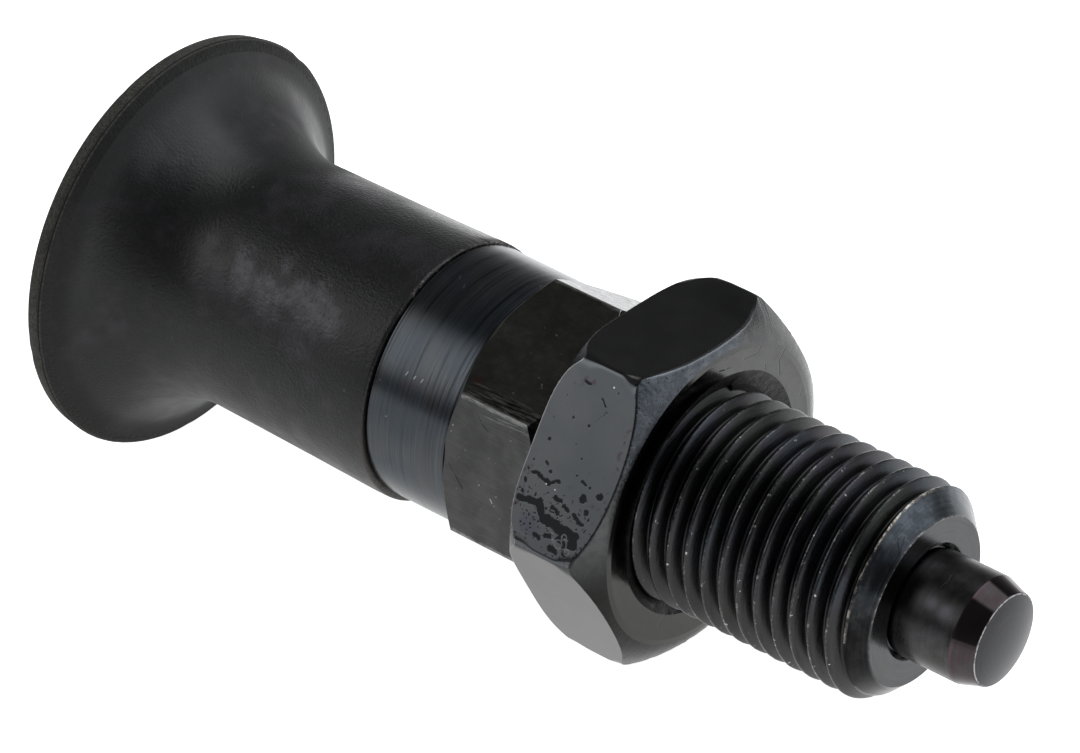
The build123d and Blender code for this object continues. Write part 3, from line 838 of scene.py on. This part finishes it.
nut_cols = hex_columns(NUT_AT, NUT_AF, NUT_RHO, 1.3)
nut_cols = np.array(sorted(set(nut_cols) | {c + 0.5 for c in np.arange(124.0, 176.0, 1.0)} | {float(c) for c in np.arange(124.0, 177.0, 1.0)}))
nut_cols = nut_cols[np.concatenate([[True], np.diff(nut_cols) > 0.12])]
FLAT_ROWS = 44
CROWN_ROWS = (0.12, 0.26, 0.40, 0.54, 0.68, 0.82, 0.93)
REAR_ROWS = (0.93, 0.8, 0.65, 0.5, 0.35, 0.2, 0.08)


def crown(R):
    return NUT_LEN - 0.2166 * max(R - 10.76, 0.0) ** 2


def nut_r(al, x):
    """The nut's side: corners rounder towards both ends, and the far upper corner a little fuller."""
    near60 = math.exp(-(((al - 60.0) / 20.0) ** 2))
    rho = 0.42 + (1.15 - 0.75 * near60) * smooth(4.7, 6.2, x) + 0.45 * smooth(3.3, 1.8, x)
    full = 0.30 * smooth(4.0, 26.0, al) * smooth(74.0, 58.0, al) * smooth(-0.5, 2.5, x)
    return hex_radius(al, NUT_AF, NUT_AT, rho) + full


def nut_line(i):
    al = nut_cols[i]
    rh = nut_r(al, 6.2)
    rr = nut_r(al, 1.6)
    rag = 0.05 * wob(al * 0.9, 5.0, 0.0) + 0.035 * wob(al * 2.6, 9.0, 0.0)
    sink = 9.25 - 0.30 * smooth(190, 232, al) * smooth(345, 312, al) + 0.02 * wob(al * 0.6, 4.0, 6.0)
    pts = [(7.05, 8.12), (NUT_LEN, sink), (NUT_LEN, 10.9), (crown(11.3), 11.3)]
    rad = [0, 0.14, 0.25, 0.03]
    r0 = 11.3
    for f in CROWN_ROWS:
        R = r0 + (rh - r0) * f
        pts.append((crown(R) + (rag if f > 0.9 else rag * 0.4 * f), R))
        rad.append(0)
    xf = crown(rh) + rag
    pts.append((xf, rh))
    rad.append(0.07 + 0.13 * smooth(60, 68, al) * smooth(120, 112, al))

    def rear(R):
        return 0.379 * max(R - 11.875, 0.0) ** 2.2 + 0.35 * max(R - 13.1, 0.0)

    rag2 = 0.03 * wob(al * 0.8, 2.0, 7.0)
    xb = max(rear(rr) + rag2 * smooth(11.9, 12.3, rr), 0.0)
    for f in np.linspace(0.04, 0.96, FLAT_ROWS):
        xx = xf + (xb - xf) * f
        pts.append((xx, nut_r(al, xx)))
        rad.append(0)
    pts.append((xb, rr))
    rad.append(0.06)
    rb = min(11.86, rr)
    for f in REAR_ROWS:
        R = rb + (rr - rb) * f
        pts.append((rear(R), R))
        rad.append(0)
    pts += [(0.0, rb - 0.02), (0.0, 8.85), (0.45, 8.13)]
    rad += [0.05, 0.05, 0]
    return rounded(pts, rad, 4)


N_CROWN_END = 4 + len(CROWN_ROWS)           # corner where the crown meets the flat
N_REAR0 = N_CROWN_END + 1 + FLAT_ROWS       # corner where the flat meets the rear chamfer


def nut_zone(seg, al):
    if seg == 0:
        return 5
    if seg in (1, 2):
        return 3
    if seg < N_CROWN_END:
        return 2
    if seg < N_REAR0:
        k = round(((al - 30.0) % 360.0) / 60.0) % 6
        return 1 if k == 2 else 0
    if seg < N_REAR0 + len(REAR_ROWS) + 1:
        return 2
    return 3


def nut_place(p, r, al):
    k = smooth(8.3, 9.4, r)
    return (p[0], p[1] + NUT_OFF[0] * k, p[2] + NUT_OFF[1] * k)


def nut_thread(x, s, al):
    return CREST_R + 0.05 - (CREST_R - 7.19) * thread_depth(s)


nut = lathe_with_thread("lock_nut_steel", nut_cols, nut_line, 0.45, 7.05, nut_thread,
                        [M_nut_flat, M_nut_side, M_nut_chamfer, M_nut_face, M_bore, M_nut_sink], nut_zone, 4, nut_place, 42,
                        rows=[-0.70, -0.60, -0.38, -0.12, 0.0, 0.12, 0.38, 0.60, 0.70])


def distance_marks(co, items):
    """Signed distance (mm) from each row of co (u, v) to the nearest mark or stroke."""
    best = np.full(len(co), 9.0)
    for it in items:
        a = np.array(it[:2])
        if len(it) == 3:
            dd = np.linalg.norm(co - a, axis=1)
        else:
            ba = np.array(it[2:4]) - a
            h = np.clip(((co - a) @ ba) / (ba @ ba), 0, 1)
            dd = np.linalg.norm(co - a - h[:, None] * ba, axis=1)
        best = np.minimum(best, dd - it[-1])
    return best


# pits, scratches and black scale on the lower left flat, as distances that its material reads
co = np.empty(len(nut.data.vertices) * 3, np.float32)
nut.data.vertices.foreach_get("co", co)
co = co.reshape(-1, 3).astype(float) * 1000
s150, c150 = math.sin(math.radians(150)), math.cos(math.radians(150))
on = (co[:, 1] * c150 + co[:, 2] * s150) > 11.7
uv = np.stack([co[:, 0], -s150 * co[:, 1] + c150 * co[:, 2]], 1)
wn = np.zeros_like(uv)
fn = np.zeros_like(uv)
for i in np.nonzero(on)[0]:
    u, v = uv[i]
    wn[i] = (0.16 * wob(u * 1.9, v * 1.9, 1.0) + 0.07 * wob(u * 4.5, v * 4.5, 2.0), 0.16 * wob(u * 1.9, v * 1.9, 5.0) + 0.07 * wob(u * 4.5, v * 4.5, 6.0))
    fn[i] = (0.05 * wob(u * 5.0, v * 5.0, 9.0), 0.05 * wob(u * 5.0, v * 5.0, 13.0))
BIG = [(0.9, 1.6, 2.4, 1.85, 0.10), (2.5, 1.85, 3.05, 1.5, 0.10), (0.55, 2.35, 0.13), (0.62, 3.1, 0.12),
       (0.6, 3.65, 2.2, 3.4, 0.17), (2.2, 3.4, 2.95, 4.2, 0.24), (2.95, 4.2, 4.0, 4.25, 0.27),
       (4.0, 4.3, 5.7, 4.45, 0.30), (5.7, 4.45, 5.85, 5.1, 0.22), (3.25, 2.57, 3.75, 2.6, 0.13),
       (5.32, 1.82, 0.24), (3.3, 3.3, 3.85, 3.5, 0.11), (4.15, 2.9, 4.55, 3.0, 0.09), (5.15, 3.05, 5.55, 3.5, 0.08),
       (5.55, 3.5, 6.0, 3.45, 0.09), (6.5, 1.15, 0.15), (5.95, 2.6, 0.12), (4.6, 5.0, 5.2, 5.3, 0.13), (2.75, 5.5, 3.2, 5.6, 0.12),
       (4.2, 5.85, 4.8, 5.95, 0.13), (5.4, 5.75, 0.15), (3.6, 5.2, 4.1, 5.1, 0.10), (6.3, 3.0, 0.06)]
SMALL = [(4.8, 0.75, 5.15, 0.9, 0.07), (2.18, 1.12, 0.10), (1.6, 0.6, 1.78, 0.76, 0.06), (1.2, -0.88, 0.10),
         (2.37, -2.92, 0.07), (1.26, -4.11, 0.05), (2.28, -5.5, 2.7, -5.45, 0.07), (5.56, 0.93, 0.08),
         (4.25, 0.57, 0.06), (6.27, -0.03, 0.05), (0.6, 0.86, 0.06), (0.45, 1.55, 0.07), (6.78, -2.88, 0.05),
         (4.14, -0.6, 0.05), (3.31, -1.34, 0.04), (3.95, -4.95, 4.5, -4.45, 0.035), (3.75, -2.85, 0.08),
         (3.75, -2.85, 4.65, -4.15, 0.005), (4.66, -4.18, 0.05), (1.9, 0.9, 0.04), (2.6, 0.4, 0.03), (5.0, -5.7, 0.05),
         (3.0, -3.8, 0.03), (1.6, -1.9, 0.03), (2.0, -0.3, 0.04), (0.9, -0.2, 0.03), (4.4, 0.2, 0.03)]
RING = [(4.75, 5.35, 0.30), (5.0, 4.75, 0.2), (3.95, 4.75, 4.3, 5.4, 0.02), (5.6, 5.6, 0.2)]
HAZE = [(1.95, 4.9, 0.55), (2.4, 5.3, 0.3)]
BLOOM = [(1.6, -5.3, 2.8, -5.7, 0.1), (6.9, -3.6, 7.0, -1.2, 0.1), (6.6, 1.3, 6.3, 2.2, 0.2), (0.4, 1.5, 0.4, 4.6, 0.15)]
BIG = [(*it[:-1], it[-1] * 1.25 + 0.03) for it in BIG]
# crowded small pits round the black patch and along the lower edge
for k in range(120):
    u = 3.3 + 3.4 * wob(k * 1.37, 0.5, 0.2) * 1.6
    v = 3.6 + 2.6 * wob(k * 1.91, 4.5, 0.7) * 1.6
    if 0.3 < u < 6.9 and 1.0 < v < 6.1 and abs(v - (3.2 + 0.35 * u)) < 1.9:
        SMALL.append((u, v, 0.035 + 0.05 * abs(wob(k * 0.77, 1.1, 3.3))))
SMALL = [(*it[:-1], it[-1] * 1.25 + 0.01) for it in SMALL]
# how far each point lies behind the front edge of its flat (negative on the front chamfer)
y0, z0 = co[:, 1] - NUT_OFF[0], co[:, 2] - NUT_OFF[1]
R0, A0 = np.hypot(y0, z0), np.degrees(np.arctan2(z0, y0)) % 360
gap = np.full(len(co), 9.0)
for i in np.nonzero(R0 > 9.5)[0]:
    rh = nut_r(A0[i], 6.2)
    xf = crown(rh)
    gap[i] = xf - co[i, 0] if co[i, 0] < xf - 0.03 else R0[i] - rh
at = nut.data.attributes.new("front_gap", "FLOAT", "POINT")
at.data.foreach_set("value", gap.astype(np.float32))
for key, items, shift in (("scale_big", BIG, wn), ("scale_small", SMALL, fn), ("scale_ring", RING, fn), ("haze", HAZE, wn), ("bloom", BLOOM, fn)):
    dist = np.where(on, distance_marks(uv + shift, items), 9.0)
    at = nut.data.attributes.new(key, "FLOAT", "POINT")
    at.data.foreach_set("value", dist.astype(np.float32))

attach(nut, "lock_nut")
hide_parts("lock_nut")


# ------------------------------------------------------------------ locating pin
def mat_pin():
    g = Mat("pin_ground_black")
    line = g.noise(g.along(4.0, 0.25), 1.0, 3.0, 0.6)
    cloud = g.noise(g.p, 0.7, 3.0, 0.6)
    tone = g.mixc(g.smooth(cloud, 0.36, 0.66), (0.038, 0.037, 0.036), (0.054, 0.052, 0.055))
    tone = g.scale(tone, g.lin(line, 0.3, 0.7, 0.88, 1.12))
    uv = g.xyz(g.x, g.mul(g.angle(), 3.98), 0.0)
    wu = g.warp(uv, 0.12, 3.0)
    a = lambda d: math.radians(d) * 3.98
    pale = g.marks(wu, [(28.35, a(120), 28.6, a(111), 0.0), (28.6, a(111), 28.45, a(104), 0.0), (30.2, a(144), 0.02), (29.4, a(66), 0.015)])
    tone = g.mixc(g.smooth(pale, 0.06, 0.0, 0.0, 0.35), tone, (0.22, 0.20, 0.18))
    dirt = g.marks(wu, [(30.3, a(72), 0.05), (28.9, a(172), 0.03), (30.6, a(170), 30.55, a(158), 0.03)])
    tone = g.mixc(g.smooth(dirt, 0.06, -0.02, 0.0, 0.8), tone, (0.015, 0.014, 0.013))
    spot = g.marks(wu, [(29.6, a(141), 0.35), (28.4, a(138), 0.25)])
    tone = g.mixc(g.smooth(spot, 0.5, -0.2, 0.0, 0.6), tone, (0.105, 0.107, 0.125))
    return g.finish(tone, g.lin(cloud, 0.3, 0.7, 0.26, 0.36), g.add(line, g.mul(cloud, 0.6)), 0.3, 0.00003)


def mat_taper():
    g = Mat("pin_taper_polished")
    cloud = g.noise(g.along(0.9, 0.9), 1.0, 3.0, 0.6)
    tone = g.mixc(g.smooth(cloud, 0.38, 0.64), (0.045, 0.036, 0.038), (0.049, 0.044, 0.046))
    line = g.noise(g.along(6.0, 0.3), 1.0, 2.0, 0.6)
    tone = g.scale(tone, g.lin(line, 0.3, 0.7, 0.92, 1.08))
    edge = g.mul(g.smooth(g.x, 30.62, 30.72), g.smooth(g.x, 30.98, 30.84))
    tone = g.mixc(g.mul(edge, 0.5), tone, (0.085, 0.050, 0.055))
    return g.finish(tone, g.lin(cloud, 0.3, 0.7, 0.07, 0.12), line, 0.12, 0.00002)


def mat_tip():
    g = Mat("pin_tip_face")
    rr = g.r()
    rings = g.noise(g.xyz(g.mul(rr, 6.0), g.mul(g.y, 0.2), g.mul(g.z, 0.2)), 1.0, 3.0, 0.6)
    tone = g.mixc(g.smooth(rings, 0.3, 0.7), (0.032, 0.032, 0.035), (0.038, 0.038, 0.041))
    # pale broken ring at the tip's edge: partly a rubbed edge, partly a painted highlight, kept to the upper left
    lip = g.mul(g.smooth(rr, 3.26, 3.33), g.smooth(g.noise(g.p, 2.0, 3.0, 0.7), 0.36, 0.55))
    lip = g.mul(lip, g.smooth(g.sub(g.z, g.y), -2.5, 2.0, 0.1, 1.0))
    tone = g.mixc(g.mul(lip, 0.7), tone, (0.42, 0.42, 0.42))
    return g.finish(tone, g.lin(rings, 0.3, 0.7, 0.20, 0.28), rings, 0.2, 0.00002)


pin_cols = np.arange(0, 360, 2.0)
pin_pts = [(32.8, 0.0), (32.782, 0.8), (32.73, 1.6), (32.65, 2.3), (32.55, 2.9), (32.43, 3.42), (30.75, 3.98), (26.05, 3.98), (25.95, 3.78), (25.55, 3.78), (25.45, 3.98), (15.98, 3.98),
           (15.98, 5.1), (15.68, 5.4), (13.3, 5.4), (13.0, 5.1), (13.0, 3.0), (-32.4, 3.0), (-32.4, 2.6), (-33.6, 2.6), (-33.6, 3.0),
           (-36.4, 3.0), (-36.4, 2.6), (-37.6, 2.6), (-37.6, 3.0), (-39.1, 3.0), (-39.5, 2.6), (-39.5, 0.0)]
pin_rad = [0, 0, 0, 0, 0, 0.14, 0.25, 0.03, 0.03, 0.03, 0.03, 0.05, 0.05, 0.05, 0.05, 0.05, 0.1, 0, 0, 0, 0, 0, 0, 0, 0, 0, 0, 0]
pin_line = rounded(pin_pts, pin_rad, 6)
pin_tags = [p[2] for p in pin_line]


def pin_zone(q):
    seg = (pin_tags[q] + pin_tags[q + 1]) / 2
    return 2 if seg < 4.95 else (1 if seg < 5.9 else 0)


pin = lathe("locating_pin_steel", pin_cols, [pin_line] * len(pin_cols), [mat_pin(), mat_taper(), mat_tip()], pin_zone, None, 50)
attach(pin, "plunger")
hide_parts("locating_pin")


# ------------------------------------------------------------------ pull knob
def mat_knob():
    g = Mat("knob_moulded_thermoplastic", metallic=0.0)
    rr = g.r()
    pebble = g.noise(g.p, 4.6, 1.0, 0.5)
    fine = g.noise(g.p, 9.5, 1.0, 0.5)
    cloud = g.noise(g.p, 0.11, 3.0, 0.55)
    tone = g.mixc(g.smooth(cloud, 0.38, 0.64), (0.0034, 0.0036, 0.0037), (0.0050, 0.0050, 0.0055))
    tone = g.scale(tone, g.lin(pebble, 0.3, 0.7, 0.6, 1.5))
    # handled patches are smoother; their lighter purple-grey colour is a painted sheen
    uv = g.xyz(g.x, g.mul(g.angle(), 9.8), 0.0)
    a = lambda d: math.radians(d) * 9.8
    n1 = g.noise(g.p, 0.55, 4.0, 0.6)
    spots = g.marks(uv, [(-29.0, a(141), -25.8, a(147), 0.75), (-23.2, a(141), -21.0, a(146), 1.0), (-22.6, a(157), 0.4), (-26.0, a(131), 0.3)])
    handled_smooth_and_sheen = g.smooth(g.add(spots, g.mul(g.sub(n1, 0.5), 4.5)), 1.1, -0.5)
    handled_smooth_and_sheen = g.mul(handled_smooth_and_sheen, g.smooth(g.noise(g.p, 1.7, 3.0, 0.65), 0.36, 0.60, 0.45, 1.0))
    # painted light: a lighter streak along the skirt as a painted sheen, and the lower skirt drawn lighter as painted
    # light from the floor below
    glow = g.marks(uv, [(-27.5, a(146), -20.0, a(150), 1.2)])
    glow = g.smooth(g.add(glow, g.mul(g.sub(n1, 0.5), 2.0)), 2.4, -0.8)
    low = g.mul(g.smooth(g.z, 1.0, -6.0), g.smooth(g.x, -34.0, -29.0))
    tone = g.mixc(g.mx(g.mul(glow, 0.55), g.mul(low, 0.40)), tone, (0.020, 0.0195, 0.0225))
    loose = g.smooth(g.noise(g.p, 0.20, 3.0, 0.6), 0.50, 0.68, 0.0, 0.34)
    loose = g.mul(loose, g.smooth(g.x, -42.5, -38.0, 0.3, 1.0))
    patch = g.mx(handled_smooth_and_sheen, loose)
    # painted sheen: the smooth patches are drawn a lighter purple-grey
    tone = g.mixc(g.mul(patch, 0.9), tone, (0.056, 0.052, 0.064))
    nick = g.smooth(g.noise(g.p, 1.7, 2.0, 0.5), 0.73, 0.77, 0.0, 0.35)
    tone = g.mixc(nick, tone, (0.06, 0.06, 0.06))
    rim = g.smooth(rr, 9.45, 9.80)
    edge = g.mul(rim, g.mul(g.smooth(g.x, -15.95, -15.70), g.smooth(g.z, 4.0, -3.0)))
    tone = g.mixc(g.mul(edge, 0.6), tone, (0.050, 0.040, 0.032))
    # painted highlights: small bright glints along the front edge
    ang = g.angle()
    painted_edge_glints = g.mul(g.mul(rim, g.smooth(g.x, -15.80, -15.66)), g.smooth(g.noise(g.p, 2.6, 3.0, 0.7), 0.53, 0.62))
    painted_edge_glints = g.mul(painted_edge_glints, g.mul(g.smooth(ang, math.radians(40), math.radians(60)), g.smooth(ang, math.radians(135), math.radians(110))))
    tone = g.mixc(g.mul(painted_edge_glints, 0.8), tone, (0.20, 0.17, 0.14))
    ro = g.lin(g.noise(g.p, 0.5, 3.0, 0.6), 0.3, 0.7, 0.33, 0.42)
    ro = g.mixf(patch, ro, 0.22)
    # duller at the flare's edge and on its far side, glossier along the top of the skirt
    dull = g.mx(g.smooth(g.x, -39.6, -40.5), g.mul(g.mul(g.smooth(ang, math.radians(98), math.radians(84)), g.smooth(ang, math.radians(30), math.radians(48))),
                                                  g.mul(g.smooth(g.x, -28.5, -31.0), g.smooth(g.x, -40.0, -38.0))))
    ro = g.mixf(dull, ro, 0.62)
    sheen = g.mul(g.mul(g.smooth(ang, math.radians(52), math.radians(60)), g.smooth(ang, math.radians(78), math.radians(68))),
                  g.mul(g.smooth(g.x, -24.5, -21.0), g.smooth(g.x, -15.8, -16.6)))
    ro = g.mixf(g.mul(sheen, 0.8), ro, 0.20)
    g.b.inputs["Specular IOR Level"].default_value = 0.42
    height = g.mul(g.add(pebble, g.mul(fine, 0.5)), g.mixf(patch, 1.0, 0.6))
    height = g.mul(height, g.smooth(g.x, -36.0, -29.0, 0.5, 1.0))
    return g.finish(tone, ro, height, 0.50, 0.00008)


def mat_knob_band():
    g = Mat("knob_rim_coarse", metallic=0.0)
    pebble = g.noise(g.p, 4.8, 2.0, 0.6)
    broad = g.noise(g.p, 0.6, 3.0, 0.6)
    tone = g.mixc(g.smooth(pebble, 0.34, 0.66), (0.028, 0.027, 0.022), (0.068, 0.065, 0.056))
    tone = g.scale(tone, g.lin(broad, 0.3, 0.7, 0.85, 1.15))
    # in front of the parting line the lip is smooth; it is painted near-black towards the top as a painted dark
    # reflection, and a little lighter lower down
    lip = g.mixc(g.smooth(g.z, 12.0, 6.0), (0.0030, 0.0030, 0.0029), (0.018, 0.0176, 0.0168))
    tone = g.mixc(g.smooth(g.x, -41.12, -40.98), tone, lip)
    tone = g.mixc(g.mul(g.smooth(g.x, -41.27, -41.23), g.smooth(g.x, -41.12, -41.17)), tone, (0.0025, 0.0025, 0.0025))
    g.b.inputs["Specular IOR Level"].default_value = 0.3
    return g.finish(tone, g.lin(pebble, 0.3, 0.7, 0.55, 0.75), g.add(pebble, g.mul(broad, 0.5)), 0.7, 0.00012)


knob_cols = np.array(sorted({round(float(v), 2) for v in np.arange(0, 360, 1.2)} | {round(float(v), 2) for v in np.arange(42.0, 84.0, 0.4)}))
turn = math.radians(68.4)
arc = [(-32.5 - 8.9 * math.sin(a), 9.73 + 8.9 * (1 - math.cos(a))) for a in np.linspace(0, turn, 40)]
dome_R = (15.55**2 + 3.15**2) / (2 * 3.15)
dome = [(-45.6 + dome_R - math.sqrt(dome_R**2 - r * r), r) for r in np.linspace(15.3, 0.0, 26)]
SK_X = [x for x, r in SKIRT][::-1]
SK_R = [r for x, r in SKIRT][::-1]
NICKS = ((42.0, 3.5, 0.10), (111.0, 2.2, 0.07), (190.5, 3.0, 0.10), (184.5, 2.0, 0.06), (268.0, 2.5, 0.08), (330.0, 2.0, 0.05))


def skirt_r(x):
    return float(np.interp(x, SK_X, SK_R))


BAND = [0, 0]


def knob_line(i):
    a = knob_cols[i]
    burr = smooth(42, 50, a) * smooth(84, 74, a)
    jag = max(wob(a * 0.62, 0.0, 4.0) + 0.5 * wob(a * 1.4, 3.0, 4.0) + 0.1, 0.0)
    lift = burr * (0.13 * jag - 0.03) + 0.015 * wob(a * 0.5, 2.0, 1.0)
    xe = KNOB_FRONT + burr * 0.05 * min(jag, 1.0) + 0.02 * wob(a * 0.35, 6.0, 1.0)
    round_r = 0.06 + 0.19 * smooth(78, 112, a) * smooth(335, 300, a)
    line = [(-39.52, 0.0), (-39.52, 3.01), (-17.2, 3.01), (-17.2, 6.8), (KNOB_FRONT, 6.8)]
    line += [p[:2] for p in rounded([(KNOB_FRONT, 6.8), (xe, 9.95 + lift), (-16.6, 9.965 + lift * 0.2)], [0, round_r, 0], 6)[1:]]
    for x in np.linspace(-16.9, -32.2, 40):
        line.append((x, skirt_r(x)))
    line += arc[:-1]
    cut = 0.0
    for c, w, d in NICKS:
        u = abs(((a - c + 180) % 360) - 180) / w
        if u < 1:
            cut += d * (1 - u * u) ** 2
    # the flare ends at a narrow convex lip; the mould's parting line runs round behind it
    part = -41.29 + 0.035 * wob(a * 0.22, 3.0, 3.0) + 0.014 * wob(a * 0.9, 5.0, 3.0)
    flash = 0.028 + 0.012 * wob(a * 0.5, 8.0, 2.0)
    R = 15.955
    lip0, lipc, lip1 = arc[-1], (-40.92, 15.82), (-41.14, R - 0.03)
    lip = []
    for q in range(1, 8):
        s = q / 7
        lip.append(((1 - s) ** 2 * lip0[0] + 2 * s * (1 - s) * lipc[0] + s * s * lip1[0],
                    (1 - s) ** 2 * lip0[1] + 2 * s * (1 - s) * lipc[1] + s * s * lip1[1] - cut * 0.6 * s))
    rim = [(part + 0.07, R - 0.01 - cut * 0.7), (part + 0.025, R + flash - cut), (part - 0.02, R + flash - 0.005 - cut),
           (part - 0.06, R - 0.10 - cut), (part - 0.14, R - 0.03 - cut), (-42.36, 15.82 - cut * 0.5), (-42.55, 15.38)]
    pts = [arc[-2], arc[-1]] + lip + rim
    rad = [0, 0.08] + [0] * len(lip) + [0, 0, 0, 0, 0, 0.24, 0]
    band0 = len(line) - 1
    line += [p[:2] for p in rounded(pts, rad, 4)[1:]]
    BAND[:] = [band0, len(line)]
    line += dome
    return line


def knob_place(p, r, al):
    k = 0.10 * smooth(-35.0, -17.0, p[0]) * smooth(8.0, 9.0, r)
    return (p[0], p[1] + k * math.cos(math.radians(230)), p[2] + k * math.sin(math.radians(230)))


knob = lathe("pull_knob_plastic", knob_cols, [knob_line(i) for i in range(len(knob_cols))], [mat_knob(), mat_knob_band()],
             lambda q: 1 if BAND[0] <= q < BAND[1] else 0, knob_place, 55)
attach(knob, "plunger")
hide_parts("pull_knob")


# ------------------------------------------------------------------ spring and bush
def mat_spring():
    g = Mat("spring_wire")
    line = g.noise(g.p, 3.5, 3.0, 0.6)
    cloud = g.noise(g.p, 0.4, 2.0, 0.5)
    tone = g.mixc(g.smooth(cloud, 0.35, 0.65), (0.32, 0.32, 0.33), (0.45, 0.44, 0.43))
    tone = g.scale(tone, g.lin(line, 0.3, 0.7, 0.85, 1.1))
    return g.finish(tone, g.lin(line, 0.3, 0.7, 0.22, 0.38), line, 0.3, 0.00003)


def mat_bush():
    g = Mat("bush_turned_brass")
    line = g.noise(g.xyz(g.mul(g.r(), 4.0), g.mul(g.x, 4.0), 0.0), 1.0, 3.0, 0.6)
    cloud = g.noise(g.p, 0.5, 3.0, 0.6)
    tone = g.mixc(g.smooth(cloud, 0.35, 0.65), (0.62, 0.42, 0.16), (0.50, 0.32, 0.12))
    tone = g.scale(tone, g.lin(line, 0.3, 0.7, 0.85, 1.1))
    return g.finish(tone, g.lin(cloud, 0.3, 0.7, 0.22, 0.36), line, 0.3, 0.00004)


w_r, mean_r, s0, s1 = 0.45, 4.75, -9.68, 12.98
cut = 0.45
c0, c1 = s0 + w_r - cut * 0.5, s1 - w_r + cut * 0.5
closed_pitch, turns = 1.03 * 2 * w_r, 10.0
open_len = (c1 - c0) - 2 * closed_pitch


def wire_x(t):
    if t <= 1.0:
        return c0 + closed_pitch * t
    if t >= turns - 1.0:
        return c1 - closed_pitch * (turns - t)
    u = (t - 1.0) / (turns - 2.0)
    e = 0.5 / (turns - 2.0)
    return c0 + closed_pitch + open_len * u


verts, faces, NS, NR = [], [], int(turns * 40), 14
for i in range(NS + 1):
    tt = turns * i / NS
    ph = 2 * math.pi * tt
    xx = wire_x(tt)
    for k in range(NR):
        q = 2 * math.pi * k / NR
        px = xx + w_r * math.sin(q)
        pr = mean_r + w_r * math.cos(q)
        verts.append((min(max(px, s0), s1), pr * math.cos(ph), pr * math.sin(ph)))
for i in range(NS):
    for k in range(NR):
        a, b = i * NR + k, i * NR + (k + 1) % NR
        faces.append([a, b, b + NR, a + NR])
faces.append([k for k in range(NR)][::-1])
faces.append([NS * NR + k for k in range(NR)])
spring = mesh_object("return_spring_wire", verts, outward(verts, faces), [mat_spring()], None, 50)
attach(spring, "spring")
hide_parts("return_spring")
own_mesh(spring)

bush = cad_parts["guide_bush"]
brass = mat_bush()
if bush.material_slots:
    for slot in bush.material_slots:
        slot.material = brass
else:
    bush.data.materials.append(brass)

# ------------------------------------------------------------------ floor
slope = 0.0892
S = 1.5


def floor_z(x):
    return (-16.0 + slope * (x / MM + 41.05)) * MM - 0.00002


fl = bpy.data.meshes.new("floor")
fl.from_pydata([(-S, -S, floor_z(-S)), (S, -S, floor_z(S)), (S, S, floor_z(S)), (-S, S, floor_z(-S))], [], [(0, 1, 2, 3)])
floor = bpy.data.objects.new("floor", fl)
bpy.context.scene.collection.objects.link(floor)
fm = bpy.data.materials.new("floor_white")
fm.use_nodes = True
fb = fm.node_tree.nodes["Principled BSDF"]
fb.inputs["Base Color"].default_value = (0.85, 0.85, 0.85, 1)
fb.inputs["Roughness"].default_value = 0.9
fb.inputs["Emission Color"].default_value = (1, 1, 1, 1)
# white as seen, and a shade darker on the near side in what it throws on the part
fg = Graph(fm.node_tree)
ftc = fg.new("ShaderNodeTexCoord")
fd = fg.vec("DOT_PRODUCT", ftc.outputs["Object"], (0.64, 0.77, 0.0))
flp = fg.new("ShaderNodeLightPath")
fg.put(fb.inputs["Emission Strength"], fg.mixf(flp.outputs["Is Camera Ray"], fg.smooth(fd, -0.06, 0.015, 0.29, 0.95), 1.0))
fl.materials.append(fm)

# ------------------------------------------------------------------ studio: two soft boxes and a pale table
w = bpy.data.worlds.new("studio")
bpy.context.scene.world = w
w.use_nodes = True
g = Graph(w.node_tree)
bg = w.node_tree.nodes["Background"]
tc = g.new("ShaderNodeTexCoord")
d = g.vec("NORMALIZE", tc.outputs["Generated"])
sep = g.new("ShaderNodeSeparateXYZ")
g.put(sep.inputs[0], d)
dz = sep.outputs[2]


def aim(az, el):
    a, e = math.radians(az), math.radians(el)
    return (math.cos(e) * math.cos(a), math.cos(e) * math.sin(a), math.sin(e))



def soft(az, el, inner, outer, strength):
    c = g.vec("DOT_PRODUCT", d, aim(az, el))
    return g.smooth(c, math.cos(math.radians(outer)), math.cos(math.radians(inner)), 0.0, strength)


def tinted(v, color):
    return g.vec("SCALE", color, scale=v)


total = tinted(1.0, (0.115, 0.117, 0.12))
total = g.vec("ADD", total, tinted(soft(-140, 30, 7, 29, 1.35), (1.0, 1.0, 1.0)))
total = g.vec("ADD", total, tinted(soft(36, 40, 8, 38, 1.5), (0.95, 0.99, 1.03)))
total = g.vec("ADD", total, tinted(soft(78, 68, 20, 29, 1.5), (0.98, 0.99, 1.01)))
# the pale sweep behind the table, fading upwards
glow = g.math("EXPONENT", g.mul(g.mx(dz, 0.0), -5.6))
side = g.smooth(g.vec("DOT_PRODUCT", d, aim(110, 0)), -0.2, 0.75, 0.10, 0.75)
total = g.vec("ADD", total, tinted(g.mul(glow, side), (1.0, 1.0, 1.0)))
below = g.smooth(dz, 0.0, -0.12, 0.0, 0.8)
total = g.vec("ADD", total, tinted(below, (1.0, 1.0, 1.0)))
lp = g.new("ShaderNodeLightPath")
final = g.mixc(lp.outputs["Is Camera Ray"], total, (1.0, 1.0, 1.0))
g.put(bg.inputs["Color"], final)
bg.inputs["Strength"].default_value = 1.0

bpy.context.scene.view_settings.view_transform = "Standard"
bpy.context.scene.view_settings.look = "None"
